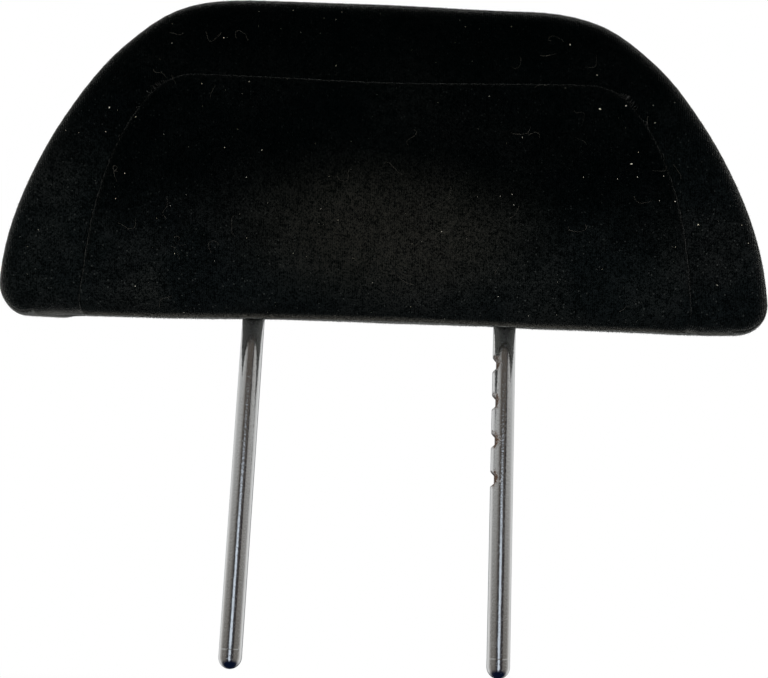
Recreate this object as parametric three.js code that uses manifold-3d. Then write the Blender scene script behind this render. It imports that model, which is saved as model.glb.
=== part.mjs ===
// A car headrest: a velour cover on moulded foam, round a chromed steel hoop whose legs plug into the seat.
// Millimetres, +Z up along the legs, front towards -Y, origin midway between the tips of the two legs.
import * as THREE from 'three';
import { mergeVertices } from 'three/addons/utils/BufferGeometryUtils.js';
import Module from 'manifold-3d';

const wasm = await Module();
wasm.setup();

// Hoop: one bent rod, with notches for height in the right leg
const postDiameter = 10;
const postSpacing = 112;
const postExposed = 152.5;
const barHeight = 72;
const bendRadius = 22;
const notchCount = 4;
const notchPitch = 17;
const notchMouth = 6.6;
const notchFloor = 3.8;
const notchDepth = 1.8;

// Head: its outline from the front, and its depth before and behind the legs
const headLean = 12.5;
const headWidth = 328;
const headHeight = 136;
const cornerRadius = 13;
const shoulderWidth = 228;
const shoulderHeight = 113.5;
const shoulderSlope = 43;
const topWidth = 110;
const faceCentreShare = 0.45;
const frontDepth = 40;
const rearDepth = 46;
const rearDepthTop = 24;
const frontCrown = 3;
const rearCrown = 9;
const rimReach = 10;
const rimDepth = 14;
const bandBulge = 1.2;

// How long the outline runs on in each direction before it turns
const sideReach = 33.5;
const lowerShoulderReach = 25;
const upperShoulderReach = 26;
const topReach = 29.5;

// Cover: cloth on a thin foam backing, cut as six panels
const coverThickness = 3;
const seamSetback = 6.4;
const undersideSeamSetback = 17;
const undersideWidth = 296;
const closureSetback = 20;
const panelRise = 1.4;
const panelFootWidth = 256;
const panelShoulderWidth = 209.6;
const panelShoulderHeight = 88.8;
const panelShoulderSlope = 53;
const panelTopWidth = 163;
const panelTopHeight = 102.2;
const panelTopSag = 1.4;

// The same for the panel's seam
const panelFootReach = 35;
const panelSideReach = 25;
const panelCornerReach = 9;
const panelTopReach = 12;
const panelCrownReach = 25;

// Hooked strips that close the cover
const stripThickness = 1.1;
const stripBase = 10;
const stripLip = 2.4;
const stripLength = 262;

// Armature on the hoop
const wireDiameter = 5;
const wireHeight = 21.5;
const wireTopInset = 36;
const wireSideInset = 38;
const wireShoulderInset = 28;
const wireBendRadius = 20;
const wireOverlap = 12;
const strapWidth = 12;
const strapThickness = 3;
const strapSpacing = 64;
const plateThickness = 1.2;
const plateOverhang = 4;
const plateLap = 2;
const plateRim = 6;
const plateFoot = 20;
const plateHoleDiameter = 24;
const plateHoleSpacing = 56;

// Clearances
const clearance = 0.3;
const postHoleClearance = 0.5;

// How finely the curves are cut
const rodSides = 16;
const bendSteps = 6;
const noseSteps = 3;
const curveSteps = 8;
const straightSteps = 5;
const rimSteps = 4;
const plateHoleSides = 24;

const postRadius = postDiameter / 2;
const lean = THREE.MathUtils.degToRad(headLean);
const depthAxis = new THREE.Vector3(0, 1, 0);
const barZ = postExposed + barHeight;

const part = new THREE.Group();
const head = new THREE.Group();
head.position.z = postExposed;
head.rotation.x = lean;
part.add(head);
part.updateMatrixWorld(true);
const partToHead = head.matrixWorld.clone().invert();

// Materials
const velour = new THREE.MeshStandardMaterial({ color: 0x14171b, roughness: 0.95, metalness: 0 });
const chrome = new THREE.MeshStandardMaterial({ color: 0xd8dce0, roughness: 0.08, metalness: 1 });
const foam = new THREE.MeshStandardMaterial({ color: 0xd9cfa8, roughness: 0.9, metalness: 0 });
const steel = new THREE.MeshStandardMaterial({ color: 0x6d7175, roughness: 0.5, metalness: 0.9 });
const plastic = new THREE.MeshStandardMaterial({ color: 0x2a2a2c, roughness: 0.6, metalness: 0 });

// Turns a closed geometry into a solid that can be cut and joined
function solidOf(geometry) {
    const bare = geometry.clone();
    bare.deleteAttribute('normal');
    bare.deleteAttribute('uv');
    const merged = mergeVertices(bare);
    return new wasm.Manifold(new wasm.Mesh({
        numProp: 3,
        vertProperties: new Float32Array(merged.attributes.position.array),
        triVerts: new Uint32Array(merged.index.array),
    }));
}

function addPiece(parent, name, solid, material) {
    const { vertProperties, triVerts } = solid.getMesh();
    const geometry = new THREE.BufferGeometry();
    geometry.setAttribute('position', new THREE.BufferAttribute(vertProperties, 3));
    geometry.setIndex(new THREE.BufferAttribute(triVerts, 1));
    geometry.computeVertexNormals();
    const mesh = new THREE.Mesh(geometry, material.clone());
    mesh.name = name;
    parent.add(mesh);
}

// Skins a row of equal rings and closes both ends round a middle point
function loft(rings, startPoint, endPoint) {
    const count = rings[0].length;
    const points = [startPoint, ...rings.flat(), endPoint];
    const last = points.length - 1;
    const at = (ring, step) => 1 + ring * count + step % count;
    const index = [];
    for (let step = 0; step < count; step += 1) {
        index.push(0, at(0, step), at(0, step + 1));
        for (let ring = 0; ring < rings.length - 1; ring += 1) {
            index.push(at(ring, step), at(ring + 1, step), at(ring, step + 1));
            index.push(at(ring, step + 1), at(ring + 1, step), at(ring + 1, step + 1));
        }
        index.push(last, at(rings.length - 1, step + 1), at(rings.length - 1, step));
    }
    const geometry = new THREE.BufferGeometry().setFromPoints(points);
    geometry.setIndex(index);
    return geometry;
}

// A path of straight runs whose corners are true arcs
function bentPath(corners, radius) {
    const path = [corners[0]];
    for (let k = 1; k < corners.length - 1; k += 1) {
        const into = corners[k].clone().sub(corners[k - 1]).normalize();
        const out = corners[k + 1].clone().sub(corners[k]).normalize();
        const turn = into.angleTo(out);
        const inward = out.clone().sub(into).normalize();
        const centre = corners[k].clone().addScaledVector(inward, radius / Math.cos(turn / 2));
        const axis = into.clone().cross(out).normalize();
        const spoke = corners[k].clone().addScaledVector(into, -radius * Math.tan(turn / 2)).sub(centre);
        for (let step = 0; step <= bendSteps; step += 1) {
            path.push(centre.clone().add(spoke.clone().applyAxisAngle(axis, turn * step / bendSteps)));
        }
    }
    path.push(corners[corners.length - 1]);
    return path;
}

// A round rod along a flat path; its ends are flat, or round when asked
function rod(path, planeNormal, radius, roundEnds) {
    const rings = [];
    const ring = (centre, along, size) => {
        const across = planeNormal.clone().cross(along).normalize();
        const points = [];
        for (let side = 0; side < rodSides; side += 1) {
            const angle = 2 * Math.PI * side / rodSides;
            const point = centre.clone().addScaledVector(planeNormal, size * Math.cos(angle));
            points.push(point.addScaledVector(across, size * Math.sin(angle)));
        }
        return points;
    };
    const along = (k) => {
        const before = path[Math.max(k - 1, 0)];
        const after = path[Math.min(k + 1, path.length - 1)];
        return after.clone().sub(before).normalize();
    };
    const lastPoint = path.length - 1;
    const nose = (k, sign) => {
        const caps = [];
        for (let step = 1; step <= noseSteps; step += 1) {
            const angle = Math.PI / 2 * step / (noseSteps + 1);
            const centre = path[k].clone().addScaledVector(along(k), -sign * radius * (1 - Math.sin(angle)));
            const size = radius * Math.cos(angle);
            caps.push(ring(centre, along(k), size));
        }
        return caps;
    };
    path.forEach((point, k) => {
        const isEnd = k === 0 || k === lastPoint;
        if (isEnd && roundEnds) {
            const sign = k === 0 ? -1 : 1;
            const shoulder = point.clone().addScaledVector(along(k), -sign * radius);
            const caps = [ring(shoulder, along(k), radius), ...nose(k, sign)];
            rings.push(...(k === 0 ? caps.reverse() : caps));
        } else {
            rings.push(ring(point, along(k), radius));
        }
    });
    return loft(rings, path[0], path[lastPoint]);
}

function box(lowX, highX, lowY, highY, lowZ, highZ) {
    const geometry = new THREE.BoxGeometry(highX - lowX, highY - lowY, highZ - lowZ);
    geometry.translate((lowX + highX) / 2, (lowY + highY) / 2, (lowZ + highZ) / 2);
    return geometry;
}

// A flat outline in X and Z, given depth from one Y to another
function prism(outline, lowY, highY) {
    const geometry = new THREE.ExtrudeGeometry(new THREE.Shape(outline), {
        depth: highY - lowY, bevelEnabled: false,
    });
    geometry.rotateX(Math.PI / 2);
    geometry.translate(0, highY, 0);
    return geometry;
}

// A flat section in Y and Z, drawn out to a length along X
function profileBar(section, length) {
    const geometry = new THREE.ExtrudeGeometry(new THREE.Shape(section), {
        depth: length, bevelEnabled: false,
    });
    geometry.applyMatrix4(new THREE.Matrix4().makeBasis(
        new THREE.Vector3(0, 1, 0), new THREE.Vector3(0, 0, 1), new THREE.Vector3(1, 0, 0)));
    geometry.translate(-length / 2, 0, 0);
    return geometry;
}

// The right half of an outline, from the bottom up, is mirrored to close it
function mirrored(rightHalf) {
    const leftHalf = rightHalf.slice(1, -1).reverse().map((point) => new THREE.Vector2(-point.x, point.y));
    return [...rightHalf, ...leftHalf];
}

function joinCurves(curves) {
    const points = [];
    for (const [curve, steps] of curves) {
        points.push(...curve.getPoints(steps).slice(points.length ? 1 : 0));
    }
    return points;
}

const flat = (x, y) => new THREE.Vector2(x, y);

// The direction down a slope on the right side, for an angle below level in degrees
function downSlope(degrees) {
    const angle = THREE.MathUtils.degToRad(degrees);
    return flat(Math.cos(angle), -Math.sin(angle));
}

// The head seen from the front: flat below, round corners, bowed sides and soft shoulders
function headOutline() {
    const half = headWidth / 2;
    const shoulder = flat(shoulderWidth / 2, shoulderHeight);
    const down = downSlope(shoulderSlope);
    const corner = new THREE.EllipseCurve(half - cornerRadius, cornerRadius, cornerRadius, cornerRadius,
        -Math.PI / 2, 0);
    const side = new THREE.CubicBezierCurve(flat(half, cornerRadius), flat(half, cornerRadius + sideReach),
        shoulder.clone().addScaledVector(down, lowerShoulderReach), shoulder);
    const crown = new THREE.CubicBezierCurve(
        shoulder, shoulder.clone().addScaledVector(down, -upperShoulderReach),
        flat(topWidth / 2 + topReach, headHeight), flat(topWidth / 2, headHeight));
    return mirrored(joinCurves([
        [new THREE.LineCurve(flat(0, 0), flat(half - cornerRadius, 0)), straightSteps],
        [corner, rimSteps],
        [side, curveSteps],
        [crown, curveSteps],
        [new THREE.LineCurve(flat(topWidth / 2, headHeight), flat(0, headHeight)), 2],
    ]));
}

// The seam round the front panel; it runs out over the bottom edge
function panelOutline() {
    const foot = panelFootWidth / 2;
    const shoulder = flat(panelShoulderWidth / 2, panelShoulderHeight);
    const down = downSlope(panelShoulderSlope);
    const top = flat(panelTopWidth / 2, panelTopHeight);
    const side = new THREE.CubicBezierCurve(flat(foot, 0), flat(foot, panelFootReach),
        shoulder.clone().addScaledVector(down, panelSideReach), shoulder);
    const corner = new THREE.CubicBezierCurve(
        shoulder, shoulder.clone().addScaledVector(down, -panelCornerReach),
        flat(top.x + panelTopReach, panelTopHeight), top);
    const crown = new THREE.CubicBezierCurve(top, flat(top.x - panelCrownReach, panelTopHeight),
        flat(panelCrownReach, panelTopHeight - panelTopSag), flat(0, panelTopHeight - panelTopSag));
    return mirrored([flat(0, -coverThickness), flat(foot, -coverThickness),
        ...joinCurves([[side, curveSteps], [corner, rimSteps], [crown, rimSteps]])]);
}

// Moves each corner of an outline inwards along its own normal
function shrunk(outline, distance) {
    return outline.map((point, k) => {
        const before = outline[(k + outline.length - 1) % outline.length];
        const after = outline[(k + 1) % outline.length];
        const along = after.clone().sub(before).normalize();
        return flat(point.x - along.y * distance, point.y + along.x * distance);
    });
}

const outline = headOutline();
const faceCentre = flat(0, headHeight * faceCentreShare);
const faceShares = [0.3, 0.55, 0.8];
const spineEnd = (headWidth - headHeight) / 2;
const frontAt = () => -frontDepth;
const rearAt = (z) => rearDepth - (rearDepth - rearDepthTop) * z / headHeight;

// How far a face has swelled at a place: 1 in its middle, 0 at its rim
function domeAt(x, z) {
    const across = 1 - (x / (headWidth / 2 - rimReach)) ** 2;
    const up = 1 - ((z - faceCentre.y) / (faceCentre.y - rimReach)) ** 2;
    return Math.max(across, 0) * Math.max(up, 0);
}

// The band swells between its seams, but the underside is flat
const bulgeAt = (point) => bandBulge * THREE.MathUtils.smoothstep(point.y, 0, 2 * cornerRadius);

// Moves a point of the outline towards the long middle of the head
function inset(point, distance) {
    const spine = flat(THREE.MathUtils.clamp(point.x, -spineEnd, spineEnd), faceCentre.y);
    return point.clone().add(spine.sub(point).normalize().multiplyScalar(distance));
}

// The head's form, as a loft of rings from front to rear; skin is the depth below the cloth's outer face
function headBody(skin, rise = 0) {
    const rimAngles = Array.from({ length: rimSteps + 1 }, (_, k) => Math.PI / 2 * k / rimSteps);
    const rimRing = (angle, faceAt, inwards, lift) => outline.map((point) => {
        const cosine = Math.cos(angle);
        const across = bulgeAt(point) + rimReach * (1 - Math.sin(angle)) + skin * Math.sin(angle);
        const setback = rimDepth * (1 - cosine) + skin * cosine - lift * cosine ** 3;
        const moved = inset(point, across);
        return new THREE.Vector3(moved.x, faceAt(moved.y) + inwards * setback, moved.y);
    });
    const facePoint = (x, z, faceAt, inwards, crown) => (
        new THREE.Vector3(x, faceAt(z) + inwards * (skin - crown * domeAt(x, z)), z));
    const faceRing = (rim, share, faceAt, inwards, crown) => rim.map((point) => {
        const z = THREE.MathUtils.lerp(faceCentre.y, point.z, share);
        return facePoint(point.x * share, z, faceAt, inwards, crown);
    });
    const front = rimAngles.map((angle) => rimRing(angle, frontAt, 1, rise));
    const rear = rimAngles.map((angle) => rimRing(angle, rearAt, -1, 0)).reverse();
    const belly = outline.map((point) => {
        const moved = inset(point, skin);
        return new THREE.Vector3(moved.x, (frontAt(moved.y) + rearAt(moved.y)) / 2, moved.y);
    });
    const raisedFront = (z) => frontAt(z) - rise;
    const rings = [
        ...faceShares.map((share) => faceRing(front[0], share, raisedFront, 1, frontCrown)),
        ...front,
        belly,
        ...rear,
        ...[...faceShares].reverse().map((share) => faceRing(rear[rimSteps], share, rearAt, -1, rearCrown)),
    ];
    const frontPole = facePoint(0, faceCentre.y, raisedFront, 1, frontCrown);
    const rearPole = facePoint(0, faceCentre.y, rearAt, -1, rearCrown);
    return loft(rings, frontPole, rearPole);
}

// Hoop: legs, bends and cross-bar are one rod; grow widens it to cut the room for it in other pieces
function hoopGeometry(grow) {
    const x = postSpacing / 2;
    const foot = -grow;
    const path = bentPath([
        new THREE.Vector3(-x, 0, foot),
        new THREE.Vector3(-x, 0, barZ),
        new THREE.Vector3(x, 0, barZ),
        new THREE.Vector3(x, 0, foot),
    ], bendRadius);
    return rod(path, depthAxis, postRadius + grow, true);
}

// One notch: a flat floor with sloped ends, cut across the inner side of the right leg
function notchGeometry(z) {
    const inner = postSpacing / 2 - postRadius;
    const floor = inner + notchDepth;
    const slope = (notchMouth - notchFloor) / 2 / notchDepth;
    const mouthX = inner - postRadius;
    const mouth = notchFloor / 2 + slope * (floor - mouthX);
    const section = [flat(mouthX, z - mouth), flat(floor, z - notchFloor / 2),
        flat(floor, z + notchFloor / 2), flat(mouthX, z + mouth)];
    return prism(section, -postDiameter, postDiameter);
}

let hoop = solidOf(hoopGeometry(0));
for (let k = 1; k <= notchCount; k += 1) {
    hoop = hoop.subtract(solidOf(notchGeometry(postExposed - k * notchPitch)));
}
addPiece(part, 'support_hoop', hoop, chrome);

// Plate: a flat sheet on the front of the legs and cross-bar, with its long edges turned forwards
function plateSolid(grow, frame) {
    const halfWidth = postSpacing / 2 + postRadius + plateOverhang + grow;
    const rear = -postRadius - clearance + grow;
    const front = -postRadius - clearance - plateThickness - grow;
    const low = postExposed + plateFoot - grow;
    const high = barZ + plateLap + grow;
    const edge = plateThickness + 2 * grow;
    const boxes = [
        box(-halfWidth, halfWidth, front, rear, low, high),
        box(-halfWidth, halfWidth, front - plateRim, rear, low, low + edge),
        box(-halfWidth, halfWidth, front - plateRim, rear, high - edge, high),
    ];
    const [sheet, lowRim, highRim] = boxes.map((geometry) => solidOf(geometry.applyMatrix4(frame)));
    return sheet.add(lowRim).add(highRim);
}

function plateHole(x) {
    const radius = plateHoleDiameter / 2;
    const hole = new THREE.CylinderGeometry(radius, radius, postDiameter, plateHoleSides);
    hole.translate(x, -postRadius, postExposed + (plateFoot + barHeight) / 2);
    return solidOf(hole);
}

const plate = plateSolid(0, new THREE.Matrix4())
    .subtract(plateHole(-plateHoleSpacing / 2))
    .subtract(plateHole(plateHoleSpacing / 2));
addPiece(part, 'armature_plate', plate, steel);

// Wire: it starts and ends behind the legs and goes out, up and over, parallel to the face
const wireRadius = wireDiameter / 2;
const wireY = wireHeight * Math.tan(lean) + (postRadius + clearance + wireRadius) / Math.cos(lean);
const wireTop = headHeight - wireTopInset;

function wireGeometry(grow) {
    const startX = postSpacing / 2 - wireOverlap - grow;
    const sideX = headWidth / 2 - wireSideInset;
    const shoulderX = shoulderWidth / 2 - wireShoulderInset;
    const right = [
        new THREE.Vector3(startX, wireY, wireHeight),
        new THREE.Vector3(sideX, wireY, wireHeight),
        new THREE.Vector3(shoulderX, wireY, wireTop),
    ];
    const left = right.map((point) => new THREE.Vector3(-point.x, point.y, point.z)).reverse();
    return rod(bentPath([...right, ...left], wireBendRadius), depthAxis, wireRadius + grow, false);
}

addPiece(head, 'outline_wire', solidOf(wireGeometry(0)), steel);

// The room that the armature takes in the foam, in the head's own frame
const hoopRoom = solidOf(hoopGeometry(clearance).applyMatrix4(partToHead));
const plateRoom = plateSolid(clearance, partToHead);
const wireRoom = solidOf(wireGeometry(clearance));

// Straps: flat bars that stand between the cross-bar and the wire's top run
const barInHead = new THREE.Vector3(0, 0, barZ).applyMatrix4(partToHead);

function strapSolid(x, grow) {
    const halfWidth = strapWidth / 2 + grow;
    const halfDepth = strapThickness / 2 + grow;
    const bar = box(x - halfWidth, x + halfWidth, wireY - halfDepth, wireY + halfDepth, barInHead.z, wireTop);
    return solidOf(bar);
}

const strapSides = [['tie_strap_left', -strapSpacing / 2], ['tie_strap_right', strapSpacing / 2]];
for (const [name, x] of strapSides) {
    const strap = strapSolid(x, 0).subtract(hoopRoom).subtract(wireRoom).subtract(plateRoom);
    addPiece(head, name, strap, steel);
}

// Closing strips: the front one's lip stands up inside the rear one's hook
const stripFloor = coverThickness + clearance;
const stripPitch = stripThickness + clearance;
const hookY = closureSetback;
const lipY = hookY + stripPitch;
const backY = lipY + stripPitch;
const baseTop = stripFloor + stripThickness;
const lipTop = baseTop + stripLip;
const roof = lipTop + clearance;
const roofTop = roof + stripThickness;

const frontStripSection = [
    flat(closureSetback - stripBase, stripFloor),
    flat(lipY + stripThickness, stripFloor),
    flat(lipY + stripThickness, lipTop),
    flat(lipY, lipTop),
    flat(lipY, baseTop),
    flat(closureSetback - stripBase, baseTop),
];
const rearStripSection = [
    flat(backY, stripFloor),
    flat(backY + stripBase, stripFloor),
    flat(backY + stripBase, baseTop),
    flat(backY + stripThickness, baseTop),
    flat(backY + stripThickness, roofTop),
    flat(hookY, roofTop),
    flat(hookY, baseTop + clearance),
    flat(hookY + stripThickness, baseTop + clearance),
    flat(hookY + stripThickness, roof),
    flat(backY, roof),
];
addPiece(head, 'closing_strip_front', solidOf(profileBar(frontStripSection, stripLength)), plastic);
addPiece(head, 'closing_strip_rear', solidOf(profileBar(rearStripSection, stripLength)), plastic);

const stripRoomHalf = stripLength / 2 + clearance;
const stripRoom = solidOf(box(-stripRoomHalf, stripRoomHalf, closureSetback - stripBase - clearance,
    backY + stripBase + clearance, 0, roofTop + clearance));

// Foam: the head's form below the cover, with the armature's room open at the legs
let foamCore = solidOf(headBody(coverThickness + clearance))
    .subtract(hoopRoom)
    .subtract(plateRoom)
    .subtract(wireRoom)
    .subtract(stripRoom);
for (const [, x] of strapSides) {
    foamCore = foamCore.subtract(strapSolid(x, clearance));
}
addPiece(head, 'foam_core', foamCore, foam);

// Cover: one shell of cloth, cut along its seams into the panels that are sewn together
const inside = solidOf(headBody(coverThickness));
const shell = solidOf(headBody(0)).subtract(inside);
const raisedShell = solidOf(headBody(0, panelRise)).subtract(inside);
const beyond = headWidth;
const halfGap = clearance / 2;
const frontSeamY = -frontDepth + seamSetback;

const inFrontOf = (y) => solidOf(box(-beyond, beyond, -beyond, y, -beyond, beyond));

function behindRearSeam(shift) {
    const seamAt = (z) => rearAt(z) - seamSetback + shift;
    const section = [flat(seamAt(-beyond), -beyond), flat(beyond, -beyond), flat(beyond, beyond),
        flat(seamAt(beyond), beyond)];
    return solidOf(profileBar(section, 2 * beyond));
}

const panelSeam = panelOutline();
const panelPrism = (seam) => solidOf(prism(seam, -beyond, 0));
const halfUnderside = undersideWidth / 2;
const undersideRoof = coverThickness + rimReach;
const undersideBox = (half, lowY, highY) => solidOf(box(-half, half, lowY, highY, -beyond, undersideRoof));
const undersideSeamY = -frontDepth + undersideSeamSetback;

// What lies before the front seam; below, it runs further back, as the front cloth wraps the bottom edge
function frontRegion(shift) {
    const below = undersideBox(halfUnderside + shift, -beyond, undersideSeamY + shift);
    return inFrontOf(frontSeamY + shift).add(below);
}

const frontCap = frontRegion(-halfGap);
const panel = raisedShell.intersect(frontCap).intersect(panelPrism(shrunk(panelSeam, clearance)));
addPiece(head, 'front_panel', panel, velour);
addPiece(head, 'front_border', shell.intersect(frontCap).subtract(panelPrism(panelSeam)), velour);
addPiece(head, 'rear_panel', shell.intersect(behindRearSeam(halfGap)), velour);

const middle = shell.subtract(frontRegion(halfGap)).subtract(behindRearSeam(-halfGap));
const postHoles = solidOf(hoopGeometry(postHoleClearance).applyMatrix4(partToHead));
const closureFront = closureSetback - halfGap;
const closureRear = closureSetback + halfGap;

const sideBand = middle.subtract(undersideBox(halfUnderside + clearance, -beyond, beyond));
addPiece(head, 'side_band', sideBand, velour);
const frontFlap = middle.intersect(undersideBox(halfUnderside, -beyond, closureFront)).subtract(postHoles);
addPiece(head, 'underside_front_flap', frontFlap, velour);
const rearFlap = middle.intersect(undersideBox(halfUnderside, closureRear, beyond));
addPiece(head, 'underside_rear_flap', rearFlap, velour);

export default part;
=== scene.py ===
import math

import bmesh
import bpy
import numpy as np
from mathutils import Matrix, Vector, kdtree, noise
from mathutils.bvhtree import BVHTree


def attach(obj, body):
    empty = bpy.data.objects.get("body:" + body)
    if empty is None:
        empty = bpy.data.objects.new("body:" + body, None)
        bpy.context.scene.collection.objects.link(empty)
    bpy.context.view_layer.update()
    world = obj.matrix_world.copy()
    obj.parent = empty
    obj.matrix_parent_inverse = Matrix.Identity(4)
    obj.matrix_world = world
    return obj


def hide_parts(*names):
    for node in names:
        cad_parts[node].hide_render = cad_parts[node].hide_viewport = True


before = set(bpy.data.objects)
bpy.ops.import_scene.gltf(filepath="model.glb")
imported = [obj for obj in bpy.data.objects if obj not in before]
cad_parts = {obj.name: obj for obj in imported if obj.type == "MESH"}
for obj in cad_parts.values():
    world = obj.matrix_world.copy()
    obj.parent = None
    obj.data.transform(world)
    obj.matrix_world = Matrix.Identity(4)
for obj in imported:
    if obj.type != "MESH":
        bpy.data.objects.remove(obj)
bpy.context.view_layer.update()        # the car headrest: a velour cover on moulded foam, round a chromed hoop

mm = 0.001
photoWidth = 768        # pixels across the photograph
weaveScale = 100        # millimetres to one unit of the cloth's UV map

# Sizes in millimetres in the head's own frame: X across, Y back, Z up the face, which leans on the legs
head = {
    "lean": 12.5,
    "legsBelow": 152.5,
    "halfWidth": 164,
    "height": 136,
    "cornerRadius": 13,
    "shoulder": (114, 113.5),
    "shoulderSlope": 43,
    "sideReach": 33.5,
    "lowerShoulderReach": 25,
    "upperShoulderReach": 26,
    "topHalf": 55,
    "topReach": 29.5,
    "frontDepth": 40,
    "rearDepth": 46,
    "rearDepthTop": 24,
    "frontCrown": 1.6,
    "rearCrown": 6.5,
    "crownCentre": 0.45,
    "rimReach": 10,
    "rimDepth": 14,
    "seamSetback": 6.4,
    "undersideSetback": 17,
    "bandBulge": 1.2,
    "closure": 20,
    "undersideHalf": 148,
    "clothThickness": 2.3,
}

lean = math.radians(head["lean"])
headToPart = Matrix.Translation((0, 0, head["legsBelow"] * mm)) @ Matrix.Rotation(lean, 4, "X")


def toPart(points):        # millimetres in the head's frame to metres in the part's
    turn = np.array(headToPart.to_3x3())
    return np.asarray(points, float) * mm @ turn.T + np.array(headToPart.translation)


def colour(text):          # an sRGB hex value as linear light
    parts = [int(text[k:k + 2], 16) / 255 for k in (1, 3, 5)]
    return (*[c / 12.92 if c < 0.04045 else ((c + 0.055) / 1.055) ** 2.4 for c in parts], 1.0)


def addNode(tree, kind, inputs=None, **settings):
    node = tree.nodes.new(kind)
    for name, value in settings.items():
        setattr(node, name, value)
    sockets = [socket for socket in node.inputs if socket.enabled]
    for key, value in (inputs or {}).items():
        socket = sockets[key] if isinstance(key, int) else next(s for s in sockets if s.name == key)
        if isinstance(value, bpy.types.Node):
            value = next(out for out in value.outputs if out.enabled)
        if isinstance(value, bpy.types.NodeSocket):
            tree.links.new(value, socket)
        else:
            socket.default_value = value
    return node


def calc(tree, operation, *values):
    return addNode(tree, "ShaderNodeMath", dict(enumerate(values)), operation=operation)


def vectorCalc(tree, operation, values):
    return addNode(tree, "ShaderNodeVectorMath", values, operation=operation)


def spread(tree, value, fromEnds, toEnds=(0, 1), curve="LINEAR"):      # a value on another scale
    return addNode(tree, "ShaderNodeMapRange", {
        "Value": value, "From Min": fromEnds[0], "From Max": fromEnds[1],
        "To Min": toEnds[0], "To Max": toEnds[1]}, interpolation_type=curve)


def blend(tree, share, first, second):     # two colours mixed; hex values or nodes
    first, second = (colour(end) if isinstance(end, str) else end for end in (first, second))
    return addNode(tree, "ShaderNodeMix", {"Factor": share, "A": first, "B": second}, data_type="RGBA")


def spotsOf(tree, vector, size, detail=3, roughness=0.5):      # noise in spots of a size in mm
    return addNode(tree, "ShaderNodeTexNoise", {
        "Vector": vector, "Scale": 1 / (size * mm), "Detail": detail, "Roughness": roughness})


def cellsOf(tree, vector, size):
    return addNode(tree, "ShaderNodeTexVoronoi", {"Vector": vector, "Scale": 1 / (size * mm)})


def newMaterial(name):     # an empty material and its tree
    material = bpy.data.materials.new(name)
    material.use_nodes = True
    material.node_tree.nodes.clear()
    return material, material.node_tree


def addPiece(name, mesh):
    piece = bpy.data.objects.new(name, mesh)
    bpy.context.collection.objects.link(piece)
    return piece


# Camera: square to the face and a little below its bottom edge, turned as the photograph is
shot = {
    "focalPixels": 1266,
    "place": (12.1, -569.6, -4.8),
    "yaw": -1.04,
    "pitch": -0.18,
    "roll": 1.87,
}


def makeCamera():
    data = bpy.data.cameras.new("camera")
    data.sensor_width = 36
    data.lens = shot["focalPixels"] * data.sensor_width / photoWidth
    data.clip_start = 0.01
    camera = addPiece("camera", data)
    yaw, pitch, roll = (math.radians(shot[key]) for key in ("yaw", "pitch", "roll"))
    ahead = Vector((math.sin(yaw) * math.cos(pitch), math.cos(yaw) * math.cos(pitch), math.sin(pitch)))
    right = Vector((math.cos(yaw), -math.sin(yaw), 0))
    up = right.cross(ahead)
    rolledRight = right * math.cos(roll) + up * math.sin(roll)
    rolledUp = up * math.cos(roll) - right * math.sin(roll)
    turn = Matrix((rolledRight, rolledUp, -ahead)).transposed().to_4x4()
    place = Matrix.Translation(Vector(shot["place"]) * mm)
    camera.matrix_world = headToPart @ place @ turn
    bpy.context.scene.camera = camera


# Studio: a white sweep all round, soft lamps, and for the chrome a room with a darker side before the face
studio = {
    "floorDrop": 0.03,
    "floorRadius": 4,
    "floorWhite": "#f4f4f4",
    "floorGlow": 0.75,         # how much of its own white the camera sees under the part
    "glowReach": (0.2, 0.6),   # metres from the part between which the floor fades to plain white
    "skyLight": 0.42,
    "lamps": {
        # name: place, aim, width, height, watts, colour
        "keyLamp": ((-0.5, -1.5, 1.0), (0, 0, 0.2), 0.9, 0.9, 9, "#fff8f0"),
        "fillLamp": ((1.3, -1.1, 0.1), (0, 0, 0.2), 0.9, 1.3, 7, "#f2f6ff"),
        "lowLamp": ((0.02, -0.75, -0.02), (0, 0, 0.16), 1.1, 0.22, 3.4, "#ffffff"),
        "rimLamp": ((0, 1.2, 0.6), (0, 0, 0.2), 1.8, 0.7, 8, "#ffffff"),
    },
    # what the chrome reflects, by degrees turned away from straight ahead of the face: above and at the floor
    "roomHigh": [(0, "#5b554f"), (24, "#5c5650"), (33, "#92908e"), (52, "#b9b9b8"), (88, "#c2c3c3"),
                 (125, "#e2e2e2"), (144, "#eeeeee"), (158, "#85888b"), (169, "#4d4f52"), (180, "#3f4144")],
    "roomLow": [(0, "#3c3d42"), (18, "#303036"), (30, "#57534f"), (48, "#75716d"), (78, "#7c7975"),
                (100, "#b4b1ae"), (124, "#f0f0f0"), (146, "#dddddd"), (162, "#6f7174"), (180, "#3a3c40")],
    "roomHeights": (0.19, -0.03),      # upward slopes of the rays where the one has given way to the other
    "windowWidth": (6, 14),            # degrees to each side at full light and at none
    "windowHeight": (0.15, 0.05),
    "windowLight": "#e4eefb",
    "edgeTurn": (27, 35),              # the window's frame, on one side of it
    "edgeShade": "#2a2529",
    "nearFloor": (-0.32, -0.8),        # slopes between which a ray meets the dark floor close by
    "nearFloorShade": "#0c1428",
}


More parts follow.
